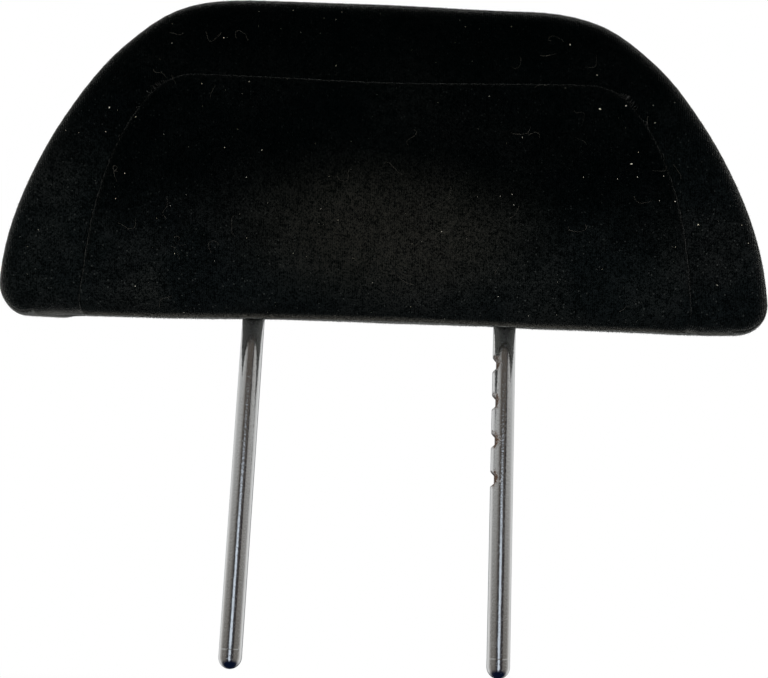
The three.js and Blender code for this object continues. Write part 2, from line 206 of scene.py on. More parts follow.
def lampsAndWorld():
    world = bpy.data.worlds.new("studio")
    bpy.context.scene.world = world
    world.use_nodes = True
    tree = world.node_tree
    tree.nodes.clear()
    path = addNode(tree, "ShaderNodeLightPath")
    direction = addNode(tree, "ShaderNodeTexCoord").outputs["Generated"]
    split = addNode(tree, "ShaderNodeSeparateXYZ", {0: direction})
    height = split.outputs["Z"]
    ahead = calc(tree, "MULTIPLY", split.outputs["Y"], -1)
    degrees = calc(tree, "DEGREES", calc(tree, "ARCTAN2", split.outputs["X"], ahead))
    away = calc(tree, "ABSOLUTE", degrees)
    share = calc(tree, "DIVIDE", away, 180)
    rooms = []
    for key in ("roomHigh", "roomLow"):
        ramp = addNode(tree, "ShaderNodeValToRGB", {"Fac": share})
        stops = ramp.color_ramp.elements
        for k, (at, shade) in enumerate(studio[key]):
            stop = stops[k] if k < 2 else stops.new(at / 180)
            stop.position = at / 180
            stop.color = colour(shade)
        rooms.append(ramp.outputs[0])
    seen = blend(tree, spread(tree, height, studio["roomHeights"]), *rooms)

    edgeFrom, edgeTo = studio["edgeTurn"]
    window = spread(tree, away, studio["windowWidth"], (1, 0), "SMOOTHSTEP")
    lower = spread(tree, height, studio["windowHeight"], curve="SMOOTHSTEP")
    layers = {
        "edgeShade": calc(tree, "COMPARE", degrees, (edgeFrom + edgeTo) / 2, (edgeTo - edgeFrom) / 2),
        "windowLight": calc(tree, "MULTIPLY", window, lower),
        "nearFloorShade": spread(tree, height, studio["nearFloor"], curve="SMOOTHSTEP"),
    }
    for shade, cover in layers.items():
        seen = blend(tree, cover, seen, studio[shade])
    room = addNode(tree, "ShaderNodeBackground", {"Color": seen, "Strength": 1})
    white = addNode(tree, "ShaderNodeBackground", {"Color": (1, 1, 1, 1), "Strength": 1})
    light = addNode(tree, "ShaderNodeBackground", {"Color": (1, 1, 1, 1), "Strength": studio["skyLight"]})
    glossy = addNode(tree, "ShaderNodeMixShader", {0: path.outputs["Is Glossy Ray"], 1: light, 2: room})
    final = addNode(tree, "ShaderNodeMixShader", {0: path.outputs["Is Camera Ray"], 1: glossy, 2: white})
    addNode(tree, "ShaderNodeOutputWorld", {"Surface": final})

    for name, (place, aim, width, height, watts, tint) in studio["lamps"].items():
        data = bpy.data.lights.new(name, "AREA")
        data.shape = "RECTANGLE"
        data.size = width
        data.size_y = height
        data.energy = watts
        data.color = colour(tint)[:3]
        lamp = addPiece(name, data)
        lamp.location = place
        lamp.rotation_euler = (Vector(aim) - Vector(place)).to_track_quat("-Z", "Y").to_euler()
        lamp.visible_glossy = False


def makeFloor():
    shape = bmesh.new()
    bmesh.ops.create_circle(shape, cap_ends=True, segments=96, radius=studio["floorRadius"])
    bmesh.ops.translate(shape, verts=shape.verts, vec=(0, 0, -studio["floorDrop"]))
    mesh = bpy.data.meshes.new("floor")
    shape.to_mesh(mesh)
    shape.free()
    paper, tree = newMaterial("studioPaper")
    path = addNode(tree, "ShaderNodeLightPath")
    solid = addNode(tree, "ShaderNodeTexCoord").outputs["Object"]
    far = vectorCalc(tree, "LENGTH", {0: solid}).outputs["Value"]
    glowShare = spread(tree, far, studio["glowReach"], (studio["floorGlow"], 1), "SMOOTHSTEP")
    looked = calc(tree, "MAXIMUM", path.outputs["Is Camera Ray"], path.outputs["Is Transmission Ray"])
    share = calc(tree, "MULTIPLY", looked, glowShare)
    matt = addNode(tree, "ShaderNodeBsdfDiffuse", {"Color": colour(studio["floorWhite"])})
    glow = addNode(tree, "ShaderNodeEmission", {"Color": (1, 1, 1, 1), "Strength": 1})
    top = addNode(tree, "ShaderNodeMixShader", {0: share, 1: matt, 2: glow})
    clear = addNode(tree, "ShaderNodeBsdfTransparent")
    below = addNode(tree, "ShaderNodeNewGeometry").outputs["Backfacing"]
    both = addNode(tree, "ShaderNodeMixShader", {0: below, 1: top, 2: clear})
    addNode(tree, "ShaderNodeOutputMaterial", {"Surface": both})
    mesh.materials.append(paper)
    floor = addPiece("floor", mesh)
    floor.visible_glossy = False


bpy.context.scene.view_settings.view_transform = "Standard"
makeCamera()
lampsAndWorld()
makeFloor()
print("camera and studio stand")


# Hoop: a bright-chromed steel rod, bent once each side; its right leg has four height notches
hoop = {
    "radius": 5,
    "legSpacing": 112,
    "barTop": 224.5,
    "bend": 22,
    "sides": 48,
    "notches": 4,
    "notchPitch": 17,
    "notchFloor": 3.8,
    "notchMouth": 6.6,
    "notchDepth": 1.8,
    "noseRing": 8.6,           # a faint turned line above the nose
    "ringDepth": 0.05,
    "sharpFrom": 28,           # degrees between faces that keep a crisp edge
    "notched": (70.35, 145),   # heights between which the rings stand close, for the notches
    "notchRings": 214,
    # the legs have been knocked a little to the left: how far below the head and at their tips
    "knocked": {1: (0.3, 0.7), -1: (1.3, 2.8)},
}

# The seam round the front panel, drawn from the front: its right half, from the bottom up
panelSeam = {
    "footHalf": 128,
    "footReach": 35,
    "shoulder": (104.8, 88.8),
    "shoulderSlope": 53,
    "sideReach": 25,
    "cornerReach": 9,
    "top": (81.5, 102.2),
    "topReach": 12,
    "crownReach": 25,
    "topSag": 1.4,
    "shift": 2.2,              # the cover sits a little to the right on its foam
    "turn": (97.5, 96.5),      # where the side ends and the top begins
}

# How the stuffed cover has settled: its rim stands fuller than the foam, most at the shoulders, and the
# bottom edge arches up a little
settling = {
    # degrees round the head from the right side over the top, and millimetres
    "fuller": [(-40, 0), (-12, 1.2), (4, 2), (15, 2.2), (27, 1.9), (38, 0.9), (48, 0), (60, 0.1), (78, 0.9),
               (90, 1.3), (113, 1.7), (127, 1.8), (141, 1.9), (153, 2), (166, 1.9), (178, 1), (188, 0.3),
               (200, 0)],
    "fullerCentre": (0, 40),
    "fullerWithin": 20,
    "outwardsCentre": 20,      # height of the middle that the rim is pushed away from
    "outwardsHeight": 115,
    # places in the plan, how far round them the cover gives and where it is pushed
    "pushes": [((-156, 3), 9, (1.2, -1.9)), ((105, -4), 26, (0, 0.8))],
    "edgeArch": 1.2,
    "archHalf": 95,
}


def bezier(corners, steps):
    t = np.linspace(0, 1, steps + 1)[:, None]
    a, b, c, d = (np.array(point, float) for point in corners)
    return (1 - t) ** 3 * a + 3 * (1 - t) ** 2 * t * b + 3 * (1 - t) * t ** 2 * c + t ** 3 * d


def runOf(curve):          # length along a polyline at each of its points
    return np.concatenate(([0], np.cumsum(np.linalg.norm(np.diff(curve, axis=0), axis=1))))


def pointsAlong(curve, places):
    run = runOf(curve)
    return np.stack([np.interp(places, run, curve[:, k]) for k in range(curve.shape[1])], 1)


def joined(curves):
    return np.vstack([curves[0], *[curve[1:] for curve in curves[1:]]])


def downSlope(degrees):
    angle = math.radians(degrees)
    return np.array((math.cos(angle), -math.sin(angle)))


def outlineHalf(steps=48):
    half, radius, height = head["halfWidth"], head["cornerRadius"], head["height"]
    shoulder = np.array(head["shoulder"])
    down = downSlope(head["shoulderSlope"])
    angle = np.radians(np.linspace(-90, 0, steps // 2))
    corner = np.stack((half - radius + radius * np.cos(angle), radius + radius * np.sin(angle)), 1)
    side = bezier([(half, radius), (half, radius + head["sideReach"]),
                   shoulder + down * head["lowerShoulderReach"], shoulder], steps)
    crown = bezier([shoulder, shoulder - down * head["upperShoulderReach"],
                    (head["topHalf"] + head["topReach"], height), (head["topHalf"], height)], steps)
    base = np.stack((np.linspace(0, half - radius, steps), np.zeros(steps)), 1)
    top = np.stack((np.linspace(head["topHalf"], 0, steps), np.full(steps, height)), 1)
    return joined([base, corner, side, crown, top])


def seamHalf(steps=60):
    foot, shoulder, top = panelSeam["footHalf"], np.array(panelSeam["shoulder"]), panelSeam["top"]
    down = downSlope(panelSeam["shoulderSlope"])
    sag = top[1] - panelSeam["topSag"]
    side = bezier([(foot, 0), (foot, panelSeam["footReach"]), shoulder + down * panelSeam["sideReach"],
                   shoulder], steps)
    corner = bezier([shoulder, shoulder - down * panelSeam["cornerReach"],
                     (top[0] + panelSeam["topReach"], top[1]), top], steps)
    crown = bezier([top, (top[0] - panelSeam["crownReach"], top[1]), (panelSeam["crownReach"], sag),
                    (0, sag)], steps)
    return joined([side, corner, crown])


def nearestRun(curve, point):
    return runOf(curve)[np.argmin(np.linalg.norm(curve - np.array(point), axis=1))]


def mirrorEnd(half):       # a right half that ends in the middle goes on down the left side
    return np.vstack([half, half[-2::-1] * (-1, 1)])


def inwardOf(curve):       # square to a polyline in the plan, towards its left
    along = np.gradient(curve, axis=0)
    along /= np.maximum(np.linalg.norm(along, axis=1)[:, None], 1e-9)
    return np.stack((-along[:, 1], along[:, 0]), 1)


def distanceTo(points, curve):         # from points in the plan to a polyline
    best = np.full(len(points), 1e9)
    for start, step in zip(curve[:-1], np.diff(curve, axis=0)):
        away = points - start
        share = np.clip(away @ step / max(step @ step, 1e-9), 0, 1)
        gap = away - share[:, None] * step
        np.minimum(best, (gap ** 2).sum(1), out=best)
    return np.sqrt(best)


def smooth(value, low, high):
    t = np.clip((value - low) / (high - low), 0, 1)
    return t * t * (3 - 2 * t)


halfCount = len(outlineHalf())
outline = mirrorEnd(outlineHalf())
closedOutline = np.vstack([outline, outline[:1]])
seamAngle = math.acos(1 - head["seamSetback"] / head["rimDepth"])
seamInset = head["rimReach"] * (1 - math.sin(seamAngle))


def bulgeAt(z):
    return head["bandBulge"] * smooth(z, 0, 2 * head["cornerRadius"])


def domeAt(x, z):
    centre = head["crownCentre"] * head["height"]
    across = 1 - (x / (head["halfWidth"] - head["rimReach"])) ** 2
    up = 1 - ((z - centre) / (centre - head["rimReach"])) ** 2
    return np.maximum(across, 0) * np.maximum(up, 0)


def rearAt(z):
    return head["rearDepth"] - (head["rearDepth"] - head["rearDepthTop"]) * z / head["height"]


def rimSetback(plan):      # how far a face has rolled back at a place in the plan
    inside = distanceTo(plan, closedOutline) - bulgeAt(plan[:, 1])
    sine = np.clip(1 - inside / head["rimReach"], 0, 1)
    return head["rimDepth"] * (1 - np.sqrt(1 - sine ** 2))


def frontDepthAt(plan):
    return rimSetback(plan) - head["frontDepth"] - head["frontCrown"] * domeAt(plan[:, 0], plan[:, 1])


def rearDepthAt(plan):
    return rearAt(plan[:, 1]) - rimSetback(plan) + head["rearCrown"] * domeAt(plan[:, 0], plan[:, 1])


def onFace(depthAt, plan, outward):    # points and normals on a face that looks to -Y or Y, by the sign
    step = 0.05
    slopes = [(depthAt(plan + move) - depthAt(plan - move)) / (2 * step) for move in ((step, 0), (0, step))]
    normals = outward * np.stack((-slopes[0], np.ones(len(plan)), -slopes[1]), 1)
    normals /= np.linalg.norm(normals, axis=1)[:, None]
    return np.stack((plan[:, 0], depthAt(plan), plan[:, 1]), 1), normals


# The rolled bottom edge: how the cloth's own length, counted from the bottom up, goes round it
rollAngle = np.append(np.linspace(0, math.pi / 2, 91), math.pi / 2)
rollSetback = np.append(head["rimDepth"] * (1 - np.cos(rollAngle[:-1])), head["undersideSetback"])
rollHeight = np.append(head["rimReach"] * (1 - np.sin(rollAngle[:-1])), 0)
rollLength = head["rimReach"] - runOf(np.stack((rollSetback, rollHeight), 1))
seamLength = np.interp(seamAngle, rollAngle[:-1], rollLength[:-1])


def onRoll(x, length):
    setback, height, angle = (np.interp(-length, -rollLength, values)
                              for values in (rollSetback, rollHeight, rollAngle))
    normals = np.stack((0 * x, -head["rimReach"] * np.cos(angle), -head["rimDepth"] * np.sin(angle)), 1)
    normals /= np.linalg.norm(normals, axis=1)[:, None]
    return np.stack((x, setback - head["frontDepth"], height), 1), normals


def lengthAt(z):           # the cloth's own length at a height on the front
    low = np.interp(z, rollHeight[-2::-1], rollLength[-2::-1])
    return np.where(z < head["rimReach"], low, z)


def rimPoints(curve, angle, faceAt, inwards):
    reach = head["rimReach"] * (1 - math.sin(angle)) + bulgeAt(curve[:, 1])
    plan = curve + inwardOf(curve) * reach[:, None]
    setback = head["rimDepth"] * (1 - math.cos(angle))
    return np.stack((plan[:, 0], faceAt(plan[:, 1]) + inwards * setback, plan[:, 1]), 1)


def frontFaceAt(z):
    return np.full_like(z, -head["frontDepth"])


def outerSeam():           # the seam round the outside, in the plan
    reach = seamInset + bulgeAt(outline[:, 1])
    return outline + inwardOf(outline) * reach[:, None]


def shifted(curve):
    share = 0.5 + 0.5 * smooth(curve[:, 1], 0, 20)
    return curve + np.outer(share, (panelSeam["shift"], 0))


seamRight = seamHalf()
seamRight = np.vstack([(panelSeam["footHalf"], seamInset), seamRight[seamRight[:, 1] > seamInset + 1]])
footLengths = np.linspace(rollLength[-1], seamLength, 10)[:-1]


# Sheets: grids of points with their normals and their places on the flat cloth, as rows by columns
class Sheet:
    def __init__(self, points, normals, flatPlaces):
        self.points, self.normals, self.flat = points, normals, flatPlaces

    def beside(self, other, axis):
        return Sheet(*[np.concatenate((a, b), axis) for a, b in (
            (self.points, other.points), (self.normals, other.normals), (self.flat, other.flat))])


def faceSheet(plan, depthAt, outward):
    rows, columns = plan.shape[:2]
    flat = plan.reshape(-1, 2)
    points, normals = onFace(depthAt, flat, outward)
    length = lengthAt(flat[:, 1]) if outward < 0 else flat[:, 1]
    return Sheet(points.reshape(rows, columns, 3), normals.reshape(rows, columns, 3),
                 np.stack((flat[:, 0], length), 1).reshape(rows, columns, 2))


def rollSheet(x, length):
    points, normals = onRoll(x.ravel(), length.ravel())
    return Sheet(points.reshape(*x.shape, 3), normals.reshape(*x.shape, 3), np.stack((x, length), -1))


def stripSheet(points):    # a grid whose normals and lengths follow from its points
    normals = np.cross(np.gradient(points, axis=1), np.gradient(points, axis=0))
    normals /= np.maximum(np.linalg.norm(normals, axis=2, keepdims=True), 1e-9)
    middle = points.shape[0] // 2, points.shape[1] // 2
    outside = points[middle] - np.array((0, 0, head["height"] / 2))
    if normals[middle] @ outside < 0:
        normals = -normals
    along = np.linalg.norm(np.diff(points, axis=1, prepend=points[:, :1]), axis=2).cumsum(1)
    across = np.linalg.norm(np.diff(points, axis=0, prepend=points[:1]), axis=2).cumsum(0)
    return Sheet(points, normals, np.stack((along, across), -1))


def closeAtEdges(count, closeness):    # even steps, drawn together towards both ends
    t = np.linspace(0, 1, count)
    return t - closeness * np.sin(2 * np.pi * t) / (2 * np.pi)


def coonsPatch(bottom, top, left, right, across, up):
    s = across[None, :, None]
    t = up[:, None, None]
    ruledUp = (1 - t) * bottom[None] + t * top[None]
    ruledAcross = (1 - s) * left[:, None] + s * right[:, None]
    corners = ((1 - s) * (1 - t) * bottom[0] + s * (1 - t) * bottom[-1]
               + (1 - s) * t * top[0] + s * t * top[-1])
    return ruledUp + ruledAcross - corners


def panelSheet(columns=220, rows=92):
    turn = nearestRun(seamRight, panelSeam["turn"])
    across = closeAtEdges(columns, 0.6)
    up = closeAtEdges(rows, 0.6)
    right = pointsAlong(seamRight, up * turn)
    top = mirrorEnd(pointsAlong(seamRight, np.linspace(turn, runOf(seamRight)[-1], 200)))
    top = pointsAlong(top, across[::-1] * runOf(top)[-1])
    bottom = np.stack((right[0, 0] * (2 * across - 1), np.full(columns, seamInset)), 1)
    plan = coonsPatch(bottom, top, right * (-1, 1), right, across, up)
    plan = shifted(plan.reshape(-1, 2)).reshape(plan.shape)
    x, length = np.meshgrid(plan[0, :, 0], footLengths)
    return rollSheet(x, length).beside(faceSheet(plan, frontDepthAt, -1), 0)


def borderSheet():
    outer = outerSeam()[:halfCount]
    innerRuns = [nearestRun(seamRight, key) for key in (
        (128, 0), (128, 14), panelSeam["shoulder"], panelSeam["top"], (0, 200))]
    outerRuns = [head["undersideHalf"]]            # the seam starts in the middle and runs level
    outerRuns += [nearestRun(outer, key) for key in ((162, 14), (122.5, 101.5), (84, 131), (0, 200))]
    columns = [14, 80, 36, 66]

    def places(runs):
        parts = [np.linspace(a, b, n, endpoint=False) for a, b, n in zip(runs, runs[1:], columns)]
        return np.concatenate(parts + [[runs[-1]]])

    innerCurve = shifted(mirrorEnd(pointsAlong(seamRight, places(innerRuns))))
    outerCurve = mirrorEnd(pointsAlong(outer, places(outerRuns)))
    nearInner, nearOuter = 0.28, 0.74          # shares of the way across where the rows stand closer
    share = np.concatenate((
        np.linspace(0, nearInner, 16, endpoint=False), np.linspace(nearInner, nearOuter, 12, endpoint=False),
        nearOuter + (1 - nearOuter) * np.sin(np.linspace(0, np.pi / 2, 15))))[:, None]
    plan = (1 - share[..., None]) * innerCurve[None] + share[..., None] * outerCurve[None]
    border = faceSheet(plan, frontDepthAt, -1)
    for side, lengths in ((0, footLengths), (-1, footLengths[::-1])):
        x = (1 - share) * innerCurve[side, 0] + share * outerCurve[side, 0]
        foot = rollSheet(*np.broadcast_arrays(x, lengths[None]))
        border = foot.beside(border, 1) if side == 0 else border.beside(foot, 1)
    return border


def bandSheet(columns=400, between=34):
    start = head["undersideHalf"]
    curve = pointsAlong(outline, np.linspace(start, runOf(outline)[-1] - start, columns))
    angles = np.linspace(seamAngle, np.pi / 2, 7)
    front = [rimPoints(curve, angle, frontFaceAt, 1) for angle in angles]
    rear = [rimPoints(curve, angle, rearAt, -1) for angle in angles[::-1]]
    middle = []
    for share in np.linspace(0, 1, between)[1:-1]:
        row = (1 - share) * front[-1] + share * rear[0]
        row[:, [0, 2]] += (curve - front[-1][:, [0, 2]]) * (1 - (2 * share - 1) ** 2)
        middle.append(row)
    return stripSheet(np.array(front + middle + rear))


def rearSheet(columns=200, rows=84):
    half = outerSeam()[:halfCount]
    cornerRun = nearestRun(half, (head["halfWidth"] - 5, 4))
    shoulderRun = nearestRun(half, (100, 124))
    across = closeAtEdges(columns, 0.5)
    up = closeAtEdges(rows, 0.5)
    right = pointsAlong(half, cornerRun + up * (shoulderRun - cornerRun))
    top = mirrorEnd(pointsAlong(half, np.linspace(shoulderRun, runOf(half)[-1], 200)))
    top = pointsAlong(top, across[::-1] * runOf(top)[-1])
    base = pointsAlong(half, np.linspace(0, cornerRun, 200))
    base = np.vstack([base[::-1] * (-1, 1), base[1:]])
    bottom = pointsAlong(base, across * runOf(base)[-1])
    return faceSheet(coonsPatch(bottom, top, right * (-1, 1), right, across, up), rearDepthAt, 1)


def undersideSheet(depths, columns=200):   # level cloth below, from one depth to another
    x = np.linspace(-head["undersideHalf"], head["undersideHalf"], columns)
    section = [(y, 0) for y in depths]
    if depths[-1] > head["closure"]:       # the rear flap goes on round the rear rim to its seam
        section += [(rearAt(0) - head["rimDepth"] * (1 - math.cos(angle)),
                     head["rimReach"] * (1 - math.sin(angle)))
                    for angle in np.linspace(np.pi / 2, seamAngle, 7)]
    points = np.zeros((len(section), columns, 3))
    points[..., 0] = x
    points[..., 1:] = np.array(section)[:, None]
    return stripSheet(points)


def settled(points):
    x, z = points[:, 0], points[:, 2]
    centreX, centreZ = settling["fullerCentre"]
    angle = (np.degrees(np.arctan2(z - centreZ, x - centreX)) + 90) % 360 - 90
    amount = np.interp(angle, *np.transpose(settling["fuller"]))
    amount *= 1 - smooth(distanceTo(points[:, [0, 2]], closedOutline), 3, settling["fullerWithin"])
    high = (z - settling["outwardsCentre"]) / settling["outwardsHeight"] ** 2
    outwards = np.stack((x / head["halfWidth"] ** 2, 0 * x, high), 1)
    outwards /= np.maximum(np.linalg.norm(outwards, axis=1)[:, None], 1e-9)
    arch = settling["edgeArch"] * np.maximum(1 - (x / settling["archHalf"]) ** 2, 0) * (1 - smooth(z, 0, 40))
    pushed = points + outwards * amount[:, None] + np.outer(arch, (0, 0, 1))
    for (placeX, placeZ), reach, (pushX, pushZ) in settling["pushes"]:
        near = np.exp(-((x - placeX) ** 2 + (z - placeZ) ** 2) / reach ** 2)
        pushed += np.outer(near, (pushX, 0, pushZ))
    return pushed


# Sewing: the cloth dives into each seam, rolls over its edge there and puckers along it
sewing = {
    "dive": 1.6,               # at the seam round the panel
    "footDive": 0.35,          # share of it that is left at the bottom edge
    "outerPuckers": 0.35,      # share of the puckers that the outer seams have
    "freeFrom": 12,            # how far from its seams the cloth lies freely
    "panelRise": 1.2,          # how proud the panel lies of the border
    "panelRoll": 3.2,
    "borderSlope": 8.0,
    "edgeDive": 1.1,           # at the outer seams
    "edgeRoll": 2.6,
    "puckerHeight": 0.2,
    "puckerLength": 6.3,
    "puckerReach": 6.0,
    "lumpHeight": 0.45,
    "lumpSize": 38,
    "dustAndSheenReach": 0.45,
    "outerSheenReach": 0.9,
    "postHugReach": 11,
    "postHugDepth": 0.9,
    "postFolds": 9,
    "postFoldDepth": 0.35,
    "swell": (4, 3, 0.5),      # behind its roll the panel swells: how far in, how wide, share of its rise
    "fill": {"panel": 0.75, "border": 0.7, "band": 0.7, "rear": 0.75, "underside": 0.8},
}


def seamFinder(curves):    # the nearest place on some seams, and how far along them it is
    step = 0.8
    points = np.vstack([pointsAlong(curve, np.arange(0, runOf(curve)[-1], step)) for curve in curves])
    tree = kdtree.KDTree(len(points))
    for k, point in enumerate(points):
        tree.insert(point, k)
    tree.balance()

    def find(places):
        found = [tree.find(place) for place in places]
        return np.array([f[2] for f in found]), np.array([f[1] for f in found]) * step
    return find


def makeFinders():
    half, front = head["undersideHalf"], head["undersideSetback"] - head["frontDepth"]
    innerPlan = shifted(mirrorEnd(seamRight))
    around = onFace(frontDepthAt, innerPlan, -1)[0]
    feet = [onRoll(np.full(10, innerPlan[side, 0]), np.linspace(rollLength[-1], seamLength, 10))[0]
            for side in (0, -1)]
    inner = np.vstack([feet[0], around, feet[1][::-1]])
    total = runOf(outline)[-1]
    plan = pointsAlong(outline, np.linspace(half, total - half, 900))
    frontEdge = rimPoints(plan, seamAngle, frontFaceAt, 1)
    rearEdge = rimPoints(outline, seamAngle, rearAt, -1)
    level = np.linspace(-half, half, 200)
    lines = [np.stack((level, np.full(200, y), np.zeros(200)), 1) for y in (head["closure"], front)]
    ends = [np.vstack([onRoll(np.full(10, side * half), np.linspace(seamLength, rollLength[-1], 10))[0],
                       [(side * half, y, 0) for y in np.linspace(front, rearAt(0) - head["rimDepth"], 60)]])
            for side in (-1, 1)]
    return seamFinder([inner]), seamFinder([frontEdge, rearEdge, *lines, *ends])


findInner, findEdge = makeFinders()


def smoothNoise(points, size, seed):
    shift = Vector((seed * 7.3, seed * 3.1, seed * 1.7))
    return np.array([noise.noise(Vector(point) / size + shift) for point in points])


# Stuffing: the cover is blown up a little between its seams, as foam does that is bigger than its cover
stuffing = {
    "voxel": 5.5,
    "pressure": 4,
    "quality": 5,
    "mass": 0.3,
    "bendingStiffness": 2,
    "lastFrame": 20,
    "limit": 2.6,
    "pinWithin": 3,
    "pinFade": 9,
    "slack": 1.2,              # how much smaller the cover starts
    "evenOver": 7,             # the swell is evened out over this far
    "neighbours": 16,          # and over so many points
}


def stuffedBody():
    curve = pointsAlong(closedOutline, np.linspace(0, runOf(closedOutline)[-1], 181))[:-1]
    curve = curve + inwardOf(curve) * stuffing["slack"]
    angles = np.linspace(0, np.pi / 2, 6)
    front = [rimPoints(curve, angle, frontFaceAt, 1) for angle in angles]
    rear = [rimPoints(curve, angle, rearAt, -1) for angle in angles[::-1]]
    centre = np.array((0, head["crownCentre"] * head["height"]))
    shares = (0.15, 0.35, 0.55, 0.75, 0.9)
    facing = [onFace(frontDepthAt, centre + (front[0][:, [0, 2]] - centre) * share, -1)[0]
              for share in shares]
    backing = [onFace(rearDepthAt, centre + (rear[-1][:, [0, 2]] - centre) * share, 1)[0]
               for share in reversed(shares)]
    rings = facing + front + rear + backing
    count = len(curve)
    points = np.vstack(rings)
    faces = []
    for ring in range(len(rings) - 1):
        for k in range(count):
            a, b = ring * count + k, ring * count + (k + 1) % count
            faces.append((a, a + count, b + count, b))
    faces.append(tuple(range(count)))
    faces.append(tuple(reversed(range(len(points) - count, len(points)))))
    mesh = bpy.data.meshes.new("stuffed")
    mesh.from_pydata((points * mm).tolist(), [], faces)
    return addPiece("stuffed", mesh)


def applied(piece):        # the evaluated mesh in place of the one with modifiers
    graph = bpy.context.evaluated_depsgraph_get()
    baked = bpy.data.meshes.new_from_object(piece.evaluated_get(graph))
    piece.modifiers.clear()
    old = piece.data
    piece.data = baked
    bpy.data.meshes.remove(old)


def stuff():               # a function that says how far the stuffing pushes points of the cover
    body = stuffedBody()
    remesh = body.modifiers.new("voxels", "REMESH")
    remesh.mode = "VOXEL"
    remesh.voxel_size = stuffing["voxel"] * mm
    applied(body)
    start = np.array([v.co for v in body.data.vertices]) / mm
    gaps = np.minimum(findInner(start)[0], findEdge(start)[0])
    pins = body.vertex_groups.new(name="pins")
    hold = 1 - smooth(gaps, stuffing["pinWithin"], stuffing["pinFade"])
    for k, weight in enumerate(hold):
        if weight > 0.001:
            pins.add([k], float(weight), "REPLACE")
    cloth = body.modifiers.new("cover", "CLOTH")
    cloth.settings.quality = stuffing["quality"]
    cloth.settings.mass = stuffing["mass"]
    cloth.settings.bending_stiffness = stuffing["bendingStiffness"]
    cloth.settings.use_pressure = True
    cloth.settings.uniform_pressure_force = stuffing["pressure"]
    cloth.settings.vertex_group_mass = "pins"
    cloth.settings.effector_weights.gravity = 0
    cloth.collision_settings.use_collision = False
    scene = bpy.context.scene
    scene.frame_start, scene.frame_end = 1, stuffing["lastFrame"]
    cloth.point_cache.frame_start, cloth.point_cache.frame_end = 1, stuffing["lastFrame"]
    for step in range(1, stuffing["lastFrame"] + 1):
        scene.frame_set(step)
    applied(body)
    scene.frame_set(1)
    push = np.array([v.co for v in body.data.vertices]) / mm - start
    bpy.data.objects.remove(body)
    size = np.linalg.norm(push, axis=1, keepdims=True)
    push *= np.minimum(1, stuffing["limit"] / np.maximum(size, 1e-6))
    print(f"cover stuffed: {len(start)} points, pushed {size.mean():.2f} mm, at most {size.max():.2f}")
    tree = kdtree.KDTree(len(start))
    for k, point in enumerate(start):
        tree.insert(point, k)
    tree.balance()

    def shift(points):
        moved = np.zeros_like(points)
        for k, point in enumerate(points):
            found = tree.find_n(point, stuffing["neighbours"])
            weights = np.array([math.exp(-(f[2] / stuffing["evenOver"]) ** 2) for f in found]) + 1e-9
            moved[k] = weights @ push[[f[1] for f in found]] / weights.sum()
        return moved
    return shift


stuffedShift = stuff()


def quarterRound(t):       # how a cloth edge rolls: upright at its seam and level at the end of the roll
    return np.sqrt(1 - (1 - np.clip(t, 0, 1)) ** 2)


def puckersAt(gap, run):
    place = np.stack((run, 0 * run, 0 * run), 1)
    strength = 0.5 + 0.5 * smoothNoise(place, 31, 3)
    wave = np.sin(2 * np.pi * run / sewing["puckerLength"] + 3 * smoothNoise(place, 17, 5))
    reach = np.exp(-(gap / sewing["puckerReach"]) ** 2) * np.clip(gap / 1.5, 0, 1)
    return sewing["puckerHeight"] * wave * strength * reach


def postsPull(points):     # the flap is drawn up round each leg, in small folds that point at it
    lift = np.zeros(len(points))
    for side in (-1, 1):
        x, y = points[:, 0] - side * hoop["legSpacing"] / 2, points[:, 1]
        reach = np.exp(-(np.hypot(x, y) / sewing["postHugReach"]) ** 2)
        folds = 1 + sewing["postFoldDepth"] * np.sin(sewing["postFolds"] * np.arctan2(y, x) + side)
        lift -= sewing["postHugDepth"] * reach * folds
    return lift


def sewn(sheet, part):     # the sheet's points as sewn, stuffed and settled, and how much dust and painted sheen each gets by its seams
    points, normals = sheet.points.reshape(-1, 3), sheet.normals.reshape(-1, 3)
    edgeGap, edgeRun = findEdge(points)
    lift = sewing["outerPuckers"] * puckersAt(edgeGap, edgeRun)
    lift -= sewing["edgeDive"] * (1 - quarterRound(edgeGap / sewing["edgeRoll"]))
    gap = edgeGap
    if part in ("panel", "border"):
        innerGap, innerRun = findInner(points)
        lift += puckersAt(innerGap, innerRun)
        gap = np.minimum(innerGap, edgeGap)
    footDive = sewing["footDive"]
    dive = sewing["dive"] * (footDive + (1 - footDive) * smooth(points[:, 2], 2, 20))
    if part == "panel":
        rise = sewing["panelRise"] * smooth(points[:, 2], 0, 26)
        lift += (dive + rise) * quarterRound(innerGap / sewing["panelRoll"]) - dive
        swellAt, swellWidth, swellShare = sewing["swell"]
        lift += swellShare * rise * np.exp(-((innerGap - swellAt) / swellWidth) ** 2)
    elif part == "border":
        lift -= dive * (1 - smooth(innerGap, 0, sewing["borderSlope"]))
    elif part == "underside":
        lift += postsPull(points)
    free = np.clip(gap / sewing["freeFrom"], 0, 1)
    lift += sewing["lumpHeight"] * free * smoothNoise(points, sewing["lumpSize"], 2)
    lift += 0.3 * sewing["lumpHeight"] * free * smoothNoise(points, sewing["lumpSize"] / 3, 8)
    moved = points + normals * lift[:, None] + stuffedShift(points) * smooth(free, 0, 0.6)[:, None]
    # dust and a painted sheen line by every seam
    dustAndSheen = np.exp(-gap / sewing["dustAndSheenReach"])
    if part == "border":       # a painted highlight where light catches the pile that bends over at the outer seam
        dustAndSheen = np.exp(-edgeGap / sewing["outerSheenReach"]) * smooth(points[:, 2], 2, 22)
    return settled(moved), dustAndSheen


